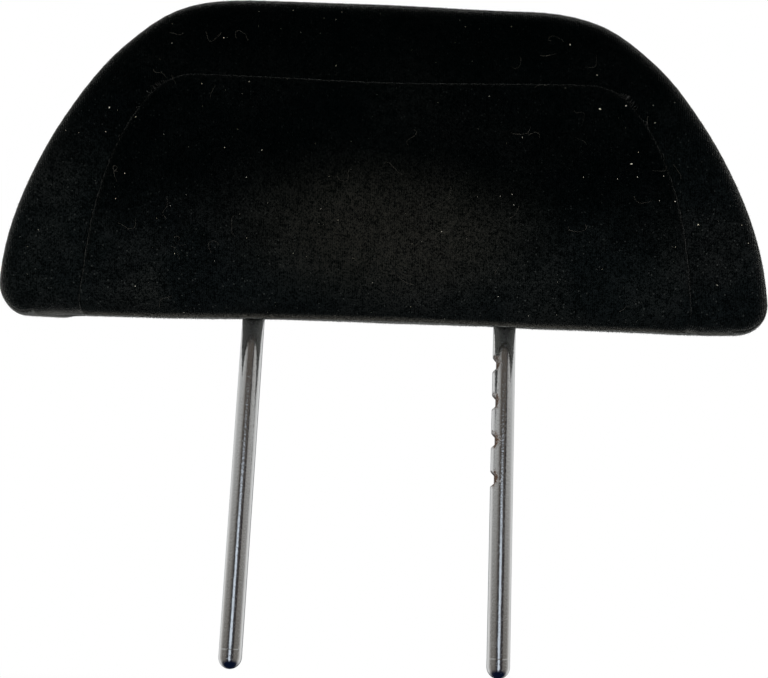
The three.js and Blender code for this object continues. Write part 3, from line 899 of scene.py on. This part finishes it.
def faceOut(quads, sheet):         # turns the quads over where they look into the head
    rows, columns = sheet.points.shape[:2]
    r, c = rows // 2, columns // 2
    across = sheet.points[r, c + 1] - sheet.points[r, c]
    up = sheet.points[r + 1, c] - sheet.points[r, c]
    return quads if np.cross(across, up) @ sheet.normals[r, c] > 0 else quads[:, ::-1]


def clothPiece(name, sheet, part, material):
    rows, columns = sheet.points.shape[:2]
    points, nearness = sewn(sheet, part)
    places = sheet.flat.reshape(-1, 2)
    index = np.arange(rows * columns).reshape(rows, columns)
    quads = np.stack((index[:-1, :-1], index[:-1, 1:], index[1:, 1:], index[1:, :-1]), -1).reshape(-1, 4)
    if name == "undersideFrontCloth":
        points, places, nearness, quads = withLegHoles(points, places, nearness, quads, index)
    quads = faceOut(quads, sheet)
    mesh = bpy.data.meshes.new(name)
    mesh.from_pydata(toPart(points).tolist(), [], quads.tolist())
    layer = mesh.uv_layers.new(name="weave")
    layer.data.foreach_set("uv", (places[quads.ravel()] / weaveScale).ravel().astype(np.float32))
    near = mesh.attributes.new("seamNearness", "FLOAT", "POINT")
    near.data.foreach_set("value", nearness.astype(np.float32))
    mesh.polygons.foreach_set("use_smooth", np.ones(len(quads), bool))
    mesh.materials.append(material)
    mesh.update()
    return addPiece(name, mesh)


# Each leg's hole in the flap: a block of the grid becomes rings that lead from its square rim to the edge
legHole = {
    "radius": (5.35, 5.5),
    "block": 7,                # grid steps from the leg to each side of the block
    "rings": 5,
    "turnedUp": 1.6,
}


def withLegHoles(points, places, nearness, quads, index):
    for side in (-1, 1):
        centre = np.array((side * hoop["legSpacing"] / 2, 0))
        plan = points[index][..., :2] - centre
        row, column = np.unravel_index(np.argmin((plan ** 2).sum(-1)), index.shape)
        block = legHole["block"]
        rows, columns = slice(row - block, row + block + 1), slice(column - block, column + block + 1)
        square = index[rows, columns]
        inside = set(square[1:-1, 1:-1].ravel().tolist())
        quads = np.array([quad for quad in quads.tolist() if not inside.intersection(quad)])
        rim = np.concatenate((square[0, :-1], square[:-1, -1], square[-1, :0:-1], square[:0:-1, 0]))
        spoke = points[rim][:, :2] - centre
        angle = np.arctan2(spoke[:, 1], spoke[:, 0])
        edge = centre + np.stack((np.cos(angle), np.sin(angle)), 1) * legHole["radius"]
        last = rim
        for ring in range(1, legHole["rings"] + 1):
            share = ring / legHole["rings"]
            moved = points[rim].copy()
            moved[:, :2] = (1 - share) * points[rim][:, :2] + share * edge
            moved[:, 2] += legHole["turnedUp"] * share ** 4
            new = len(points) + np.arange(len(rim))
            offset = moved[:, :2] - points[rim][:, :2]
            points = np.vstack([points, moved])
            places = np.vstack([places, places[rim] + offset])
            nearness = np.append(nearness, np.full(len(rim), 0.6 * share ** 2))
            ringQuads = np.stack((last, np.roll(last, -1), np.roll(new, -1), new), 1)
            quads = np.vstack([quads, ringQuads])
            last = new
    return points, places, nearness, quads


# Velour: warp-knitted polyester with a short cut pile, piece-dyed black. It drinks light face on, shows its
# wales faintly and turns grey where the pile is seen from the side
velour = {
    "root": "#000101",
    "tip": "#101415",
    "spark": "#2f3231",        # a painted glint on a lone tip that catches the light
    "worn": "#1f1f1c",
    "dustAndSheenTone": "#8a877e",
    "waleMm": 0.875,
    "tuftMm": 0.8,
    "tuftTones": (0.52, 0.9),
    "clumpMm": 2.6,
    "clumping": 0.35,
    "ribs": 0.22,
    "swayMm": 9,               # the wales wander a little over this length
    "sway": 0.012,
    "napMm": 17,
    "napShade": (0.7, 1.15),
    "sparkMm": 1.15,
    "sparkChance": 0.91,
    "sparkReach": (0.38, 0.12),
    "sparkShare": 0.8,
    "dustMm": 34,
    "dustTones": (0.42, 0.8),
    "dustShare": 0.035,
    "bump": 0.8,
    "bumpMm": 0.5,
    "wornPlace": (2, 36),
    "wornSize": (42, 21),
    "wornFade": 2.1,           # how many times that size it fades out over
    "wornPatches": 1.1,
    # metres above the legs' tips: painted shade by height, the cloth's tones are darkest here
    "paintedLightTop": {"panel": 0.208, "border": 0.268, "outer": 0.268},
    "paintedLightBottom": 0.145,           # and lightest here, towards the bottom: painted light, which scales the dust too
    "paintedLightByHeight": {"panel": (0.22, 1.4), "border": (0.1, 1.25), "outer": (0.1, 1.25)},
    "paintedEdgeSheen": (-1.5, -6),  # lengths up the cloth between which the bottom edge turns grey: a painted sheen where the pile rolls under
    "paintedEdgeSheenShare": 0.34,
    "roughness": 0.95,
    "sheen": {"panel": 0.16, "border": 0.55, "outer": 1.0},
    "sheenRoughness": {"panel": 0.2, "border": 0.24, "outer": 0.34},
    "seamDustAndSheen": {"panel": 0.02, "border": 0.34, "outer": 0.3},
    "sheenTint": "#b4b6b3",
}


def velourMaterial(name, kind):
    material, tree = newMaterial(name)
    weave = addNode(tree, "ShaderNodeUVMap", uv_map="weave")
    flat = addNode(tree, "ShaderNodeSeparateXYZ", {0: weave})
    solid = addNode(tree, "ShaderNodeTexCoord").outputs["Object"]
    height = addNode(tree, "ShaderNodeSeparateXYZ", {0: solid}).outputs["Z"]

    # wales: fine upright ribs of the knit, drawn at the pitch that shows
    sway = addNode(tree, "ShaderNodeTexNoise", {
        "Vector": weave, "Scale": weaveScale / velour["swayMm"], "Detail": 2})
    across = calc(tree, "MULTIPLY_ADD", sway, velour["sway"], flat.outputs["X"])
    turns = calc(tree, "MULTIPLY", across, 2 * math.pi * weaveScale / velour["waleMm"])
    wale = spread(tree, calc(tree, "SINE", turns), (-1, 1))

    # tufts: the pile's own grain, in clumps, with painted glints on lone tips
    tuft = spotsOf(tree, solid, velour["tuftMm"], 2, 0.75)
    clump = spotsOf(tree, solid, velour["clumpMm"], 2, 0.6)
    grain = calc(tree, "MULTIPLY_ADD", clump, velour["clumping"], tuft)
    grain = spread(tree, grain, velour["tuftTones"], curve="SMOOTHSTEP")
    ribbed = calc(tree, "MULTIPLY_ADD", wale, velour["ribs"], grain)
    napShade = spread(tree, spotsOf(tree, solid, velour["napMm"]), (0.3, 0.7), velour["napShade"])
    # painted light and shade by height: the cloth's colour lighter towards the bottom and darker at the top,
    # as the light falls
    paintedLightByHeight = spread(tree, height, (velour["paintedLightTop"][kind], velour["paintedLightBottom"]), velour["paintedLightByHeight"][kind],
                  "SMOOTHSTEP")
    lit = calc(tree, "MULTIPLY", calc(tree, "MULTIPLY", ribbed, napShade), paintedLightByHeight)
    cloth = blend(tree, lit, velour["root"], velour["tip"])

    # painted glints: lone tips lightened in the colour as if they caught the light
    cells = cellsOf(tree, solid, velour["sparkMm"])
    chance = addNode(tree, "ShaderNodeSeparateColor", {0: cells.outputs["Color"]}).outputs[0]
    chosen = calc(tree, "GREATER_THAN", chance, velour["sparkChance"])
    close = spread(tree, cells.outputs["Distance"], velour["sparkReach"], (0, velour["sparkShare"]))
    spark = calc(tree, "MULTIPLY", calc(tree, "MULTIPLY", chosen, close), paintedLightByHeight)
    cloth = blend(tree, spark, cloth, velour["spark"])

    if kind == "panel":    # where heads have lain the pile is rubbed down to its brown backing
        centre = (*[place / weaveScale for place in velour["wornPlace"]], 0)
        size = (*[weaveScale / reach for reach in velour["wornSize"]], 0)
        away = vectorCalc(tree, "SUBTRACT", {0: weave, 1: centre})
        scaled = vectorCalc(tree, "MULTIPLY", {0: away, 1: size})
        far = vectorCalc(tree, "LENGTH", {0: scaled}).outputs["Value"]
        rub = spread(tree, far, (velour["wornFade"], 0), curve="SMOOTHERSTEP")
        rub = calc(tree, "MULTIPLY", rub, calc(tree, "MULTIPLY", ribbed, velour["wornPatches"]))
        cloth = blend(tree, rub, cloth, velour["worn"])

    # dust: it settles in cloudy patches and along the seams; the seam lines also carry a painted sheen, and
    # the bottom edge a painted sheen alone
    cloud = spotsOf(tree, solid, velour["dustMm"], 4)
    dustAndSheen = spread(tree, cloud, velour["dustTones"], (0, velour["dustShare"]))
    seam = addNode(tree, "ShaderNodeAttribute", attribute_name="seamNearness").outputs["Fac"]
    # painted sheen along the rolled bottom edge
    if kind != "outer":
        lengths = [length / weaveScale for length in velour["paintedEdgeSheen"]]
        dustAndSheen = calc(tree, "ADD", dustAndSheen, spread(tree, flat.outputs["Y"], lengths, (0, velour["paintedEdgeSheenShare"])))
    dustAndSheen = calc(tree, "MULTIPLY", dustAndSheen, paintedLightByHeight)
    # the seams' dust and painted sheen lines, then the dust tone mixed into the cloth
    dustAndSheen = calc(tree, "MULTIPLY_ADD", seam, velour["seamDustAndSheen"][kind], dustAndSheen)
    cloth = blend(tree, calc(tree, "MULTIPLY", dustAndSheen, grain), cloth, velour["dustAndSheenTone"])

    relief = calc(tree, "MULTIPLY_ADD", wale, 0.3, tuft)
    bump = addNode(tree, "ShaderNodeBump", {
        "Height": relief, "Strength": velour["bump"], "Distance": velour["bumpMm"] * mm})
    surface = addNode(tree, "ShaderNodeBsdfPrincipled", {
        "Base Color": cloth, "Roughness": velour["roughness"], "Specular IOR Level": 0.0,
        "Sheen Weight": velour["sheen"][kind], "Sheen Roughness": velour["sheenRoughness"][kind],
        "Sheen Tint": colour(velour["sheenTint"]), "Normal": bump})
    addNode(tree, "ShaderNodeOutputMaterial", {"Surface": surface})
    return material


def mottledMaterial(name, dark, light, size, roughness):   # two tones in soft spots of a size in mm
    material, tree = newMaterial(name)
    solid = addNode(tree, "ShaderNodeTexCoord").outputs["Object"]
    cloud = spotsOf(tree, solid, size)
    tone = blend(tree, spread(tree, cloud, (0.35, 0.65)), dark, light)
    bump = addNode(tree, "ShaderNodeBump", {"Height": cloud, "Strength": 0.3, "Distance": 0.05 * size * mm})
    surface = addNode(tree, "ShaderNodeBsdfPrincipled", {
        "Base Color": tone, "Roughness": roughness, "Specular IOR Level": 0.05, "Normal": bump})
    addNode(tree, "ShaderNodeOutputMaterial", {"Surface": surface})
    return material


def notchDepthAt(z):
    depth = np.zeros_like(z)
    for k in range(1, hoop["notches"] + 1):
        away = np.abs(z - (head["legsBelow"] - k * hoop["notchPitch"]))
        slope = (hoop["notchMouth"] / 2 - away) / ((hoop["notchMouth"] - hoop["notchFloor"]) / 2)
        depth = np.maximum(depth, hoop["notchDepth"] * np.clip(slope, 0, 1))
    return depth


def hoopPiece():
    radius, half, bend, top = hoop["radius"], hoop["legSpacing"] / 2, hoop["bend"], hoop["barTop"]
    stations = [((half, 0, radius * (1 - math.cos(a))), (0, 0, 1), radius * math.sin(a))
                for a in np.linspace(0.06, math.pi / 2, 12)]
    ringed = np.linspace(hoop["noseRing"] - 1, hoop["noseRing"] + 1, 13)
    notched = np.linspace(*hoop["notched"], hoop["notchRings"])
    legZ = np.concatenate((np.linspace(radius + 0.5, ringed[0] - 0.4, 4), ringed, np.linspace(10.5, 70, 50),
                           notched, np.linspace(147, top - bend, 20)))
    for z in legZ:
        turned = hoop["ringDepth"] * math.exp(-((z - hoop["noseRing"]) / 0.3) ** 2)
        stations.append(((half, 0, z), (0, 0, 1), radius - turned))
    for a in np.linspace(0, math.pi / 2, 20)[1:]:
        stations.append(((half - bend + bend * math.cos(a), 0, top - bend + bend * math.sin(a)),
                         (-math.sin(a), 0, math.cos(a)), radius))
    left = [((-x, y, z), (tx, ty, -tz), r) for (x, y, z), (tx, ty, tz), r in reversed(stations)]
    angle = np.linspace(0, 2 * np.pi, hoop["sides"], endpoint=False)
    rings = []
    for (x, y, z), (tx, ty, tz), r in stations + left:
        side = np.array((tz, 0, -tx))      # square to the run, in the hoop's plane
        rings.append(np.array((x, y, z)) + r * np.outer(np.cos(angle), side)
                     + r * np.outer(np.sin(angle), (0, 1, 0)))
    points = np.array(rings)
    onLeg = (points[..., 0] > half - radius - 0.01) & (points[..., 2] < head["legsBelow"] - 6)
    limit = half - radius + notchDepthAt(points[..., 2])
    points[..., 0] = np.where(onLeg, np.maximum(points[..., 0], limit), points[..., 0])
    count, sides = points.shape[:2]
    shape = bmesh.new()
    verts = [[shape.verts.new(point * mm) for point in ring] for ring in points]
    for ring in range(count - 1):
        for k in range(sides):
            after = (k + 1) % sides
            shape.faces.new((verts[ring][k], verts[ring][after], verts[ring + 1][after], verts[ring + 1][k]))
    for ring, x in ((0, half), (count - 1, -half)):
        pole = shape.verts.new((x * mm, 0, 0))
        for k in range(sides):
            shape.faces.new((pole, verts[ring][k], verts[ring][(k + 1) % sides]))
    for vert in shape.verts:
        atHead, atTip = hoop["knocked"][1 if vert.co.x > 0 else -1]
        share = vert.co.z / (head["legsBelow"] * mm)
        vert.co.x -= mm * (atTip + (atHead - atTip) * min(share, 1)) * float(smooth(share, 1.35, 1))
    bmesh.ops.recalc_face_normals(shape, faces=shape.faces)
    for face in shape.faces:
        face.smooth = True
    for edge in shape.edges:
        edge.smooth = edge.calc_face_angle(0) < math.radians(hoop["sharpFrom"])
    mesh = bpy.data.meshes.new("chromedHoop")
    shape.to_mesh(mesh)
    shape.free()
    mesh.materials.append(chromeMaterial())
    return addPiece("chromedHoop", mesh)


# Chrome: bright chromium over nickel on a drawn steel rod. It mirrors the room, with fine pits and drawing
# lines that break the reflections up, and rust that starts in the notches
chrome = {
    "plate": "#dcdddd",
    "rust": "#382b23",
    "rustLight": "#6b523e",
    "pitMm": 0.8,
    "pitReach": (0.05, 0.22),
    "lineMm": 0.5,
    "lineStretch": 0.05,
    "fleckMm": 0.9,            # orange peel in the plating that breaks the highlight up
    "smearMm": 7,
    "blotchMm": 1.5,
    "rustReach": (6.5, 1.5),   # from a notch's middle, up and down the leg
    "rustInwards": (56, 52.3),         # from the leg's axis to its inner side
    "rustTones": (0.8, 0.98),
    "roughness": (0.05, 0.14),
    "bump": 0.6,
    "bumpMm": 0.07,
}


def chromeMaterial():
    material, tree = newMaterial("brightChromePlate")
    solid = addNode(tree, "ShaderNodeTexCoord").outputs["Object"]
    place = addNode(tree, "ShaderNodeSeparateXYZ", {0: solid})
    x, z = place.outputs["X"], place.outputs["Z"]
    pit = spread(tree, cellsOf(tree, solid, chrome["pitMm"]).outputs["Distance"], chrome["pitReach"])
    stretched = addNode(tree, "ShaderNodeMapping", {"Vector": solid, "Scale": (1, 1, chrome["lineStretch"])})
    lines = spotsOf(tree, stretched, chrome["lineMm"])
    gloss = spread(tree, spotsOf(tree, solid, chrome["smearMm"], 4), (0.35, 0.7), chrome["roughness"])

    # the notches repeat up the leg, so a distance to the nearest one repeats too
    pitch = hoop["notchPitch"] * mm
    first = (head["legsBelow"] - hoop["notches"] * hoop["notchPitch"]) * mm
    within = calc(tree, "FLOORED_MODULO", calc(tree, "SUBTRACT", z, first - pitch / 2), pitch)
    away = calc(tree, "ABSOLUTE", calc(tree, "SUBTRACT", within, pitch / 2))
    near = spread(tree, away, [reach * mm for reach in chrome["rustReach"]])
    inner = spread(tree, x, [place * mm for place in chrome["rustInwards"]])
    inRow = calc(tree, "COMPARE", z, first + 1.5 * pitch, 2 * pitch)
    right = calc(tree, "GREATER_THAN", x, 40 * mm)
    mask = calc(tree, "MULTIPLY", near, inner)
    for limit in (inRow, right):
        mask = calc(tree, "MULTIPLY", mask, limit)
    blotch = spotsOf(tree, solid, chrome["blotchMm"], 5, 0.65)
    rust = spread(tree, calc(tree, "MULTIPLY_ADD", mask, 0.55, blotch), chrome["rustTones"])
    rusty = blend(tree, lines, chrome["rust"], chrome["rustLight"])
    tone = blend(tree, rust, chrome["plate"], rusty)
    metal = spread(tree, rust, (0, 1), (1, 0.1))
    roughness = calc(tree, "MULTIPLY_ADD", rust, 0.6, gloss)
    relief = calc(tree, "MULTIPLY_ADD", lines, 0.4, pit)
    relief = calc(tree, "MULTIPLY_ADD", spotsOf(tree, solid, chrome["fleckMm"], 2), 0.9, relief)
    relief = calc(tree, "MULTIPLY_ADD", rust, 1.5, relief)
    bump = addNode(tree, "ShaderNodeBump", {
        "Height": relief, "Strength": chrome["bump"], "Distance": chrome["bumpMm"] * mm})
    surface = addNode(tree, "ShaderNodeBsdfPrincipled", {
        "Base Color": tone, "Metallic": metal, "Roughness": roughness, "Normal": bump})
    addNode(tree, "ShaderNodeOutputMaterial", {"Surface": surface})
    return material


velourPanel = velourMaterial("cutPileVelourPanel", "panel")
velourBorder = velourMaterial("cutPileVelourBorder", "border")
velourOuter = velourMaterial("cutPileVelourOuter", "outer")

coverPieces = {
    # name: sheet, part of the cover, material, CAD node it stands for
    "frontPanelCloth": (panelSheet(), "panel", velourPanel, "front_panel"),
    "frontBorderCloth": (borderSheet(), "border", velourBorder, "front_border"),
    "sideBandCloth": (bandSheet(), "band", velourOuter, "side_band"),
    "rearPanelCloth": (rearSheet(), "rear", velourOuter, "rear_panel"),
    "undersideFrontCloth": (undersideSheet(np.linspace(-23, 20, 30)), "underside", velourOuter,
                            "underside_front_flap"),
    "undersideRearCloth": (undersideSheet(np.linspace(20, 32, 9)), "underside", velourOuter,
                           "underside_rear_flap"),
}
covers = {}
for name, (sheet, part, material, node) in coverPieces.items():
    covers[name] = clothPiece(name, sheet, part, material)
    print(f"{name}: {len(covers[name].data.polygons)} faces")


# Pile: loose fibre ends that stand out of the cut pile, as thin pointed fibres that lean down the cloth
pile = {
    "length": 0.6,
    "root": 0.05,
    "lean": (0, 0, -0.45),
    "tangle": 0.75,
    "perSquareMm": {"frontPanelCloth": 1.25, "frontBorderCloth": 1.25, "sideBandCloth": 0.55,
                    "rearPanelCloth": 0.5, "undersideFrontCloth": 0.45, "undersideRearCloth": 0.5},
}


def newTree(name, sockets):        # a geometry tree with named inputs, each with its socket's type
    tree = bpy.data.node_groups.new(name, "GeometryNodeTree")
    for side in ("INPUT", "OUTPUT"):
        tree.interface.new_socket("Geometry", in_out=side, socket_type="NodeSocketGeometry")
    for label, kind in {**sockets, "Material": "Material"}.items():
        tree.interface.new_socket(label, in_out="INPUT", socket_type="NodeSocket" + kind)
    return tree, tree.nodes.new("NodeGroupInput").outputs


def scattered(tree, given):
    return addNode(tree, "GeometryNodeDistributePointsOnFaces", {
        "Mesh": given["Geometry"], "Density": given["Density"], "Seed": given["Seed"]})


def finishTree(tree, given, geometry):     # real geometry with its material
    real = addNode(tree, "GeometryNodeRealizeInstances", {"Geometry": geometry})
    finished = addNode(tree, "GeometryNodeSetMaterial", {"Geometry": real, "Material": given["Material"]})
    addNode(tree, "NodeGroupOutput", {"Geometry": finished})
    return tree


def pileTree():
    tree, given = newTree("looseFibres", {
        "Density": "Float", "Length": "Float", "Root": "Float", "Lean": "Vector", "Tangle": "Float",
        "Seed": "Int"})
    spots = scattered(tree, given)
    stray = addNode(tree, "FunctionNodeRandomValue", {"Min": (-1, -1, -1), "Max": (1, 1, 1), "Seed": 3},
                    data_type="FLOAT_VECTOR")
    strayed = vectorCalc(tree, "SCALE", {0: stray, "Scale": given["Tangle"]})
    leaning = vectorCalc(tree, "ADD", {0: strayed, 1: given["Lean"]})
    way = vectorCalc(tree, "ADD", {0: leaning, 1: spots.outputs["Normal"]})
    turned = addNode(tree, "FunctionNodeAlignRotationToVector", {"Vector": way}, axis="Z")
    size = addNode(tree, "FunctionNodeRandomValue", {"Min": 0.45, "Max": 1.25, "Seed": 5})
    fibre = addNode(tree, "GeometryNodeMeshCone", {
        "Vertices": 3, "Radius Top": 0, "Radius Bottom": given["Root"], "Depth": given["Length"]})
    placed = addNode(tree, "GeometryNodeInstanceOnPoints", {
        "Points": spots, "Instance": fibre, "Rotation": turned, "Scale": size})
    return finishTree(tree, given, placed)


def grown(name, source, tree, values):     # a piece that a geometry tree makes from a copy of a mesh
    piece = addPiece(name, source.data.copy())
    growth = piece.modifiers.new("growth", "NODES")
    growth.node_group = tree
    for socket in tree.interface.items_tree:
        if socket.in_out == "INPUT" and socket.name in values:
            growth[socket.identifier] = values[socket.name]
    applied(piece)
    return piece


fibreMaterial = mottledMaterial("looseVelourFibre", "#020303", "#1f2220", 2.2, 0.9)
looseFibres = pileTree()
fibrePieces = {}
for k, (name, density) in enumerate(pile["perSquareMm"].items()):
    fibrePieces[name] = grown(name.replace("Cloth", "Pile"), covers[name], looseFibres, {
        "Density": density / mm ** 2, "Length": pile["length"] * mm, "Root": pile["root"] * mm,
        "Lean": pile["lean"], "Tangle": pile["tangle"], "Seed": k + 1, "Material": fibreMaterial})
    print(f"{fibrePieces[name].name}: {len(fibrePieces[name].data.polygons)} faces")


# Lint: pale specks where the photograph shows them, and smaller ones strewn over the cloth
lint = {
    # places in the plan and sizes
    "specks": [
        (-115.7, 86.7, 0.62), (-117, 76.6, 0.42), (-128.4, 75.8, 0.3), (-104.2, 82.9, 0.34),
        (-50.7, 70.2, 0.5), (76, 118.6, 0.6), (87.7, 106.4, 0.55), (89, 91.9, 0.62),
        (99.7, 93.5, 0.55), (102.6, 69.4, 0.68),
        (105.3, 64, 0.5), (112.4, 87.2, 0.42), (116.1, 64.8, 0.48), (121.4, 54.5, 0.42), (131.6, 45.3, 0.5),
        (149.9, 45.8, 0.4), (153, 38.4, 0.44), (140.3, 20.5, 0.34), (97, 62.9, 0.3), (-111.5, 48.6, 0.36),
        (-108, 59.2, 0.3), (-57.1, 98.9, 0.36), (-76.9, 97.5, 0.32), (-81.5, 70.9, 0.34), (-66.3, 71, 0.36),
        (-68.7, 117.4, 0.42)],
    "flatness": (1.5, 0.8, 0.55),
    "strewnPerSquareMm": {"frontPanelCloth": 0.0035, "frontBorderCloth": 0.0035, "sideBandCloth": 0.003,
                          "rearPanelCloth": 0.003},
    "strewnRadius": (0.06, 0.17),
    "hairs": 40,
    "hairRadius": 0.032,
    "hairStep": 0.5,
    "hairSteps": (9, 25),
    "hairCurl": 0.3,
    "curlKept": 0.82,          # from one step to the next
    "curlChange": 0.24,
    "turnShare": 0.6,
    "hairLift": 0.35,
    "plainHair": (-90.3, 101.4, -0.9),         # the one the photograph shows by the seam: place and way
    "speckUnevenness": 0.35,
    "speckLift": 0.35,
}


def clothTree(names):      # finds places on some pieces of the cover
    shape = bmesh.new()
    for name in names:
        shape.from_mesh(covers[name].data)
    found = BVHTree.FromBMesh(shape)
    shape.free()
    return found


def strewnTree():
    tree, given = newTree("strewnLint", {
        "Density": "Float", "Smallest": "Float", "Largest": "Float", "Seed": "Int"})
    spots = scattered(tree, given)
    size = addNode(tree, "FunctionNodeRandomValue", {
        "Min": given["Smallest"], "Max": given["Largest"], "Seed": 7})
    squash = addNode(tree, "FunctionNodeRandomValue", {"Min": (0.9, 0.4, 0.5), "Max": (1.8, 0.8, 0.8)},
                     data_type="FLOAT_VECTOR")
    shaped = vectorCalc(tree, "SCALE", {0: squash, "Scale": size})
    turn = addNode(tree, "FunctionNodeRandomValue", {"Min": (0, 0, 0), "Max": (6.3, 6.3, 6.3), "Seed": 9},
                   data_type="FLOAT_VECTOR")
    speck = addNode(tree, "GeometryNodeMeshIcoSphere", {"Radius": 1, "Subdivisions": 1})
    placed = addNode(tree, "GeometryNodeInstanceOnPoints", {
        "Points": spots, "Instance": speck.outputs[0], "Rotation": turn, "Scale": shaped})
    return finishTree(tree, given, placed)


def namedSpecks(material):
    facing = clothTree(("frontPanelCloth", "frontBorderCloth"))
    ahead = headToPart.to_3x3() @ Vector((0, 1, 0))
    shape = bmesh.new()
    noise.seed_set(4)
    for k, (x, z, size) in enumerate(lint["specks"]):
        spot = facing.ray_cast(Vector(toPart((x, -90, z)).tolist()), ahead)[0]
        turn = noise.random_unit_vector().to_track_quat("Z", "Y").to_matrix().to_4x4()
        form = Matrix.Diagonal((*[size / 2 * mm * s for s in lint["flatness"]], 1))
        place = Matrix.Translation(spot - ahead * lint["speckLift"] * mm) @ turn @ form
        made = bmesh.ops.create_icosphere(shape, subdivisions=2, radius=1)
        for vert in made["verts"]:
            vert.co *= 1 + lint["speckUnevenness"] * noise.noise(vert.co * 1.7 + Vector((k, 0, 0)))
        bmesh.ops.transform(shape, matrix=place, verts=made["verts"])
    mesh = bpy.data.meshes.new("lintSpecks")
    shape.to_mesh(mesh)
    shape.free()
    mesh.materials.append(material)
    return addPiece("lintSpecks", mesh)


def hairTree():
    tree, given = newTree("strayHairs", {"Radius": "Float"})
    curve = addNode(tree, "GeometryNodeMeshToCurve", {"Mesh": given["Geometry"]})
    profile = addNode(tree, "GeometryNodeCurvePrimitiveCircle", {"Resolution": 4, "Radius": given["Radius"]})
    tube = addNode(tree, "GeometryNodeCurveToMesh", {
        "Curve": curve, "Profile Curve": profile, "Fill Caps": True})
    return finishTree(tree, given, tube)


def strayHairs(material):      # curly fibres that lie on the face, as runs of points that follow the cloth
    facing = clothTree(("frontPanelCloth", "frontBorderCloth"))
    chance = np.random.default_rng(12)
    points, links = [], []
    starts = [lint["plainHair"]] + [
        (chance.uniform(-140, 140), chance.uniform(8, 126), chance.uniform(-3, 3))
        for k in range(lint["hairs"])]
    for x, z, way in starts:
        curl = chance.normal(0, lint["hairCurl"])
        previous = None
        for step in range(chance.integers(*lint["hairSteps"])):
            above = Vector(toPart((x, -60, z)).tolist())
            spot, normal = facing.ray_cast(above, headToPart.to_3x3() @ Vector((0, 1, 0)))[:2]
            if spot is None:
                break
            raised = spot + normal * lint["hairLift"] * mm * (1 + 0.5 * math.sin(2 * step))
            points.append(raised)
            if previous is not None:
                links.append((previous, len(points) - 1))
            previous = len(points) - 1
            curl = lint["curlKept"] * curl + chance.normal(0, lint["curlChange"])
            way += curl * lint["turnShare"]
            x += lint["hairStep"] * math.cos(way)
            z += lint["hairStep"] * math.sin(way)
    mesh = bpy.data.meshes.new("strayHairs")
    mesh.from_pydata(points, links, [])
    line = addPiece("hairLines", mesh)
    hairs = grown("strayHairs", line, hairTree(), {"Radius": lint["hairRadius"] * mm, "Material": material})
    bpy.data.objects.remove(line)
    return hairs


lintMaterial = mottledMaterial("cottonLint", "#c4bda4", "#f4f1e6", 0.6, 0.9)
hairMaterial = mottledMaterial("strayTextileFibre", "#2c2b28", "#66635c", 3, 0.8)
strewn = strewnTree()
dirt = [namedSpecks(lintMaterial), strayHairs(hairMaterial)]
for k, (name, density) in enumerate(lint["strewnPerSquareMm"].items()):
    dirt.append(grown(name.replace("Cloth", "Lint"), covers[name], strewn, {
        "Density": density / mm ** 2, "Smallest": lint["strewnRadius"][0] * mm,
        "Largest": lint["strewnRadius"][1] * mm, "Seed": k + 11, "Material": lintMaterial}))
for piece in dirt:
    print(f"{piece.name}: {len(piece.data.polygons)} faces")


chromedHoop = hoopPiece()
print(f"chromedHoop: {len(chromedHoop.data.polygons)} faces")


# Hidden pieces keep their CAD form and get their own finish
mouldedFoam = mottledMaterial("mouldedCharcoalFoam", "#0d0e0f", "#191a1b", 4, 0.95)
pressedSteel = mottledMaterial("phosphatedSpringSteel", "#45484b", "#63676b", 7, 0.45)
stripPlastic = mottledMaterial("extrudedPolypropylene", "#1c1c1e", "#262629", 9, 0.5)
hiddenFinishes = {
    "foam_core": mouldedFoam,
    "armature_plate": pressedSteel,
    "outline_wire": pressedSteel,
    "tie_strap_left": pressedSteel,
    "tie_strap_right": pressedSteel,
    "closing_strip_front": stripPlastic,
    "closing_strip_rear": stripPlastic,
}
for node, finish in hiddenFinishes.items():
    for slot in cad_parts[node].material_slots:
        slot.material = finish

for name, (sheet, part, material, node) in coverPieces.items():
    piece = covers[name]
    wall = piece.modifiers.new("clothThickness", "SOLIDIFY")
    wall.thickness = head["clothThickness"] * mm
    wall.offset = -1
    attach(piece, "root")
    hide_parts(node)
for piece in list(fibrePieces.values()) + dirt:
    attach(piece, "root")
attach(chromedHoop, "root")
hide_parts("support_hoop")
print("pieces ride on the frame")
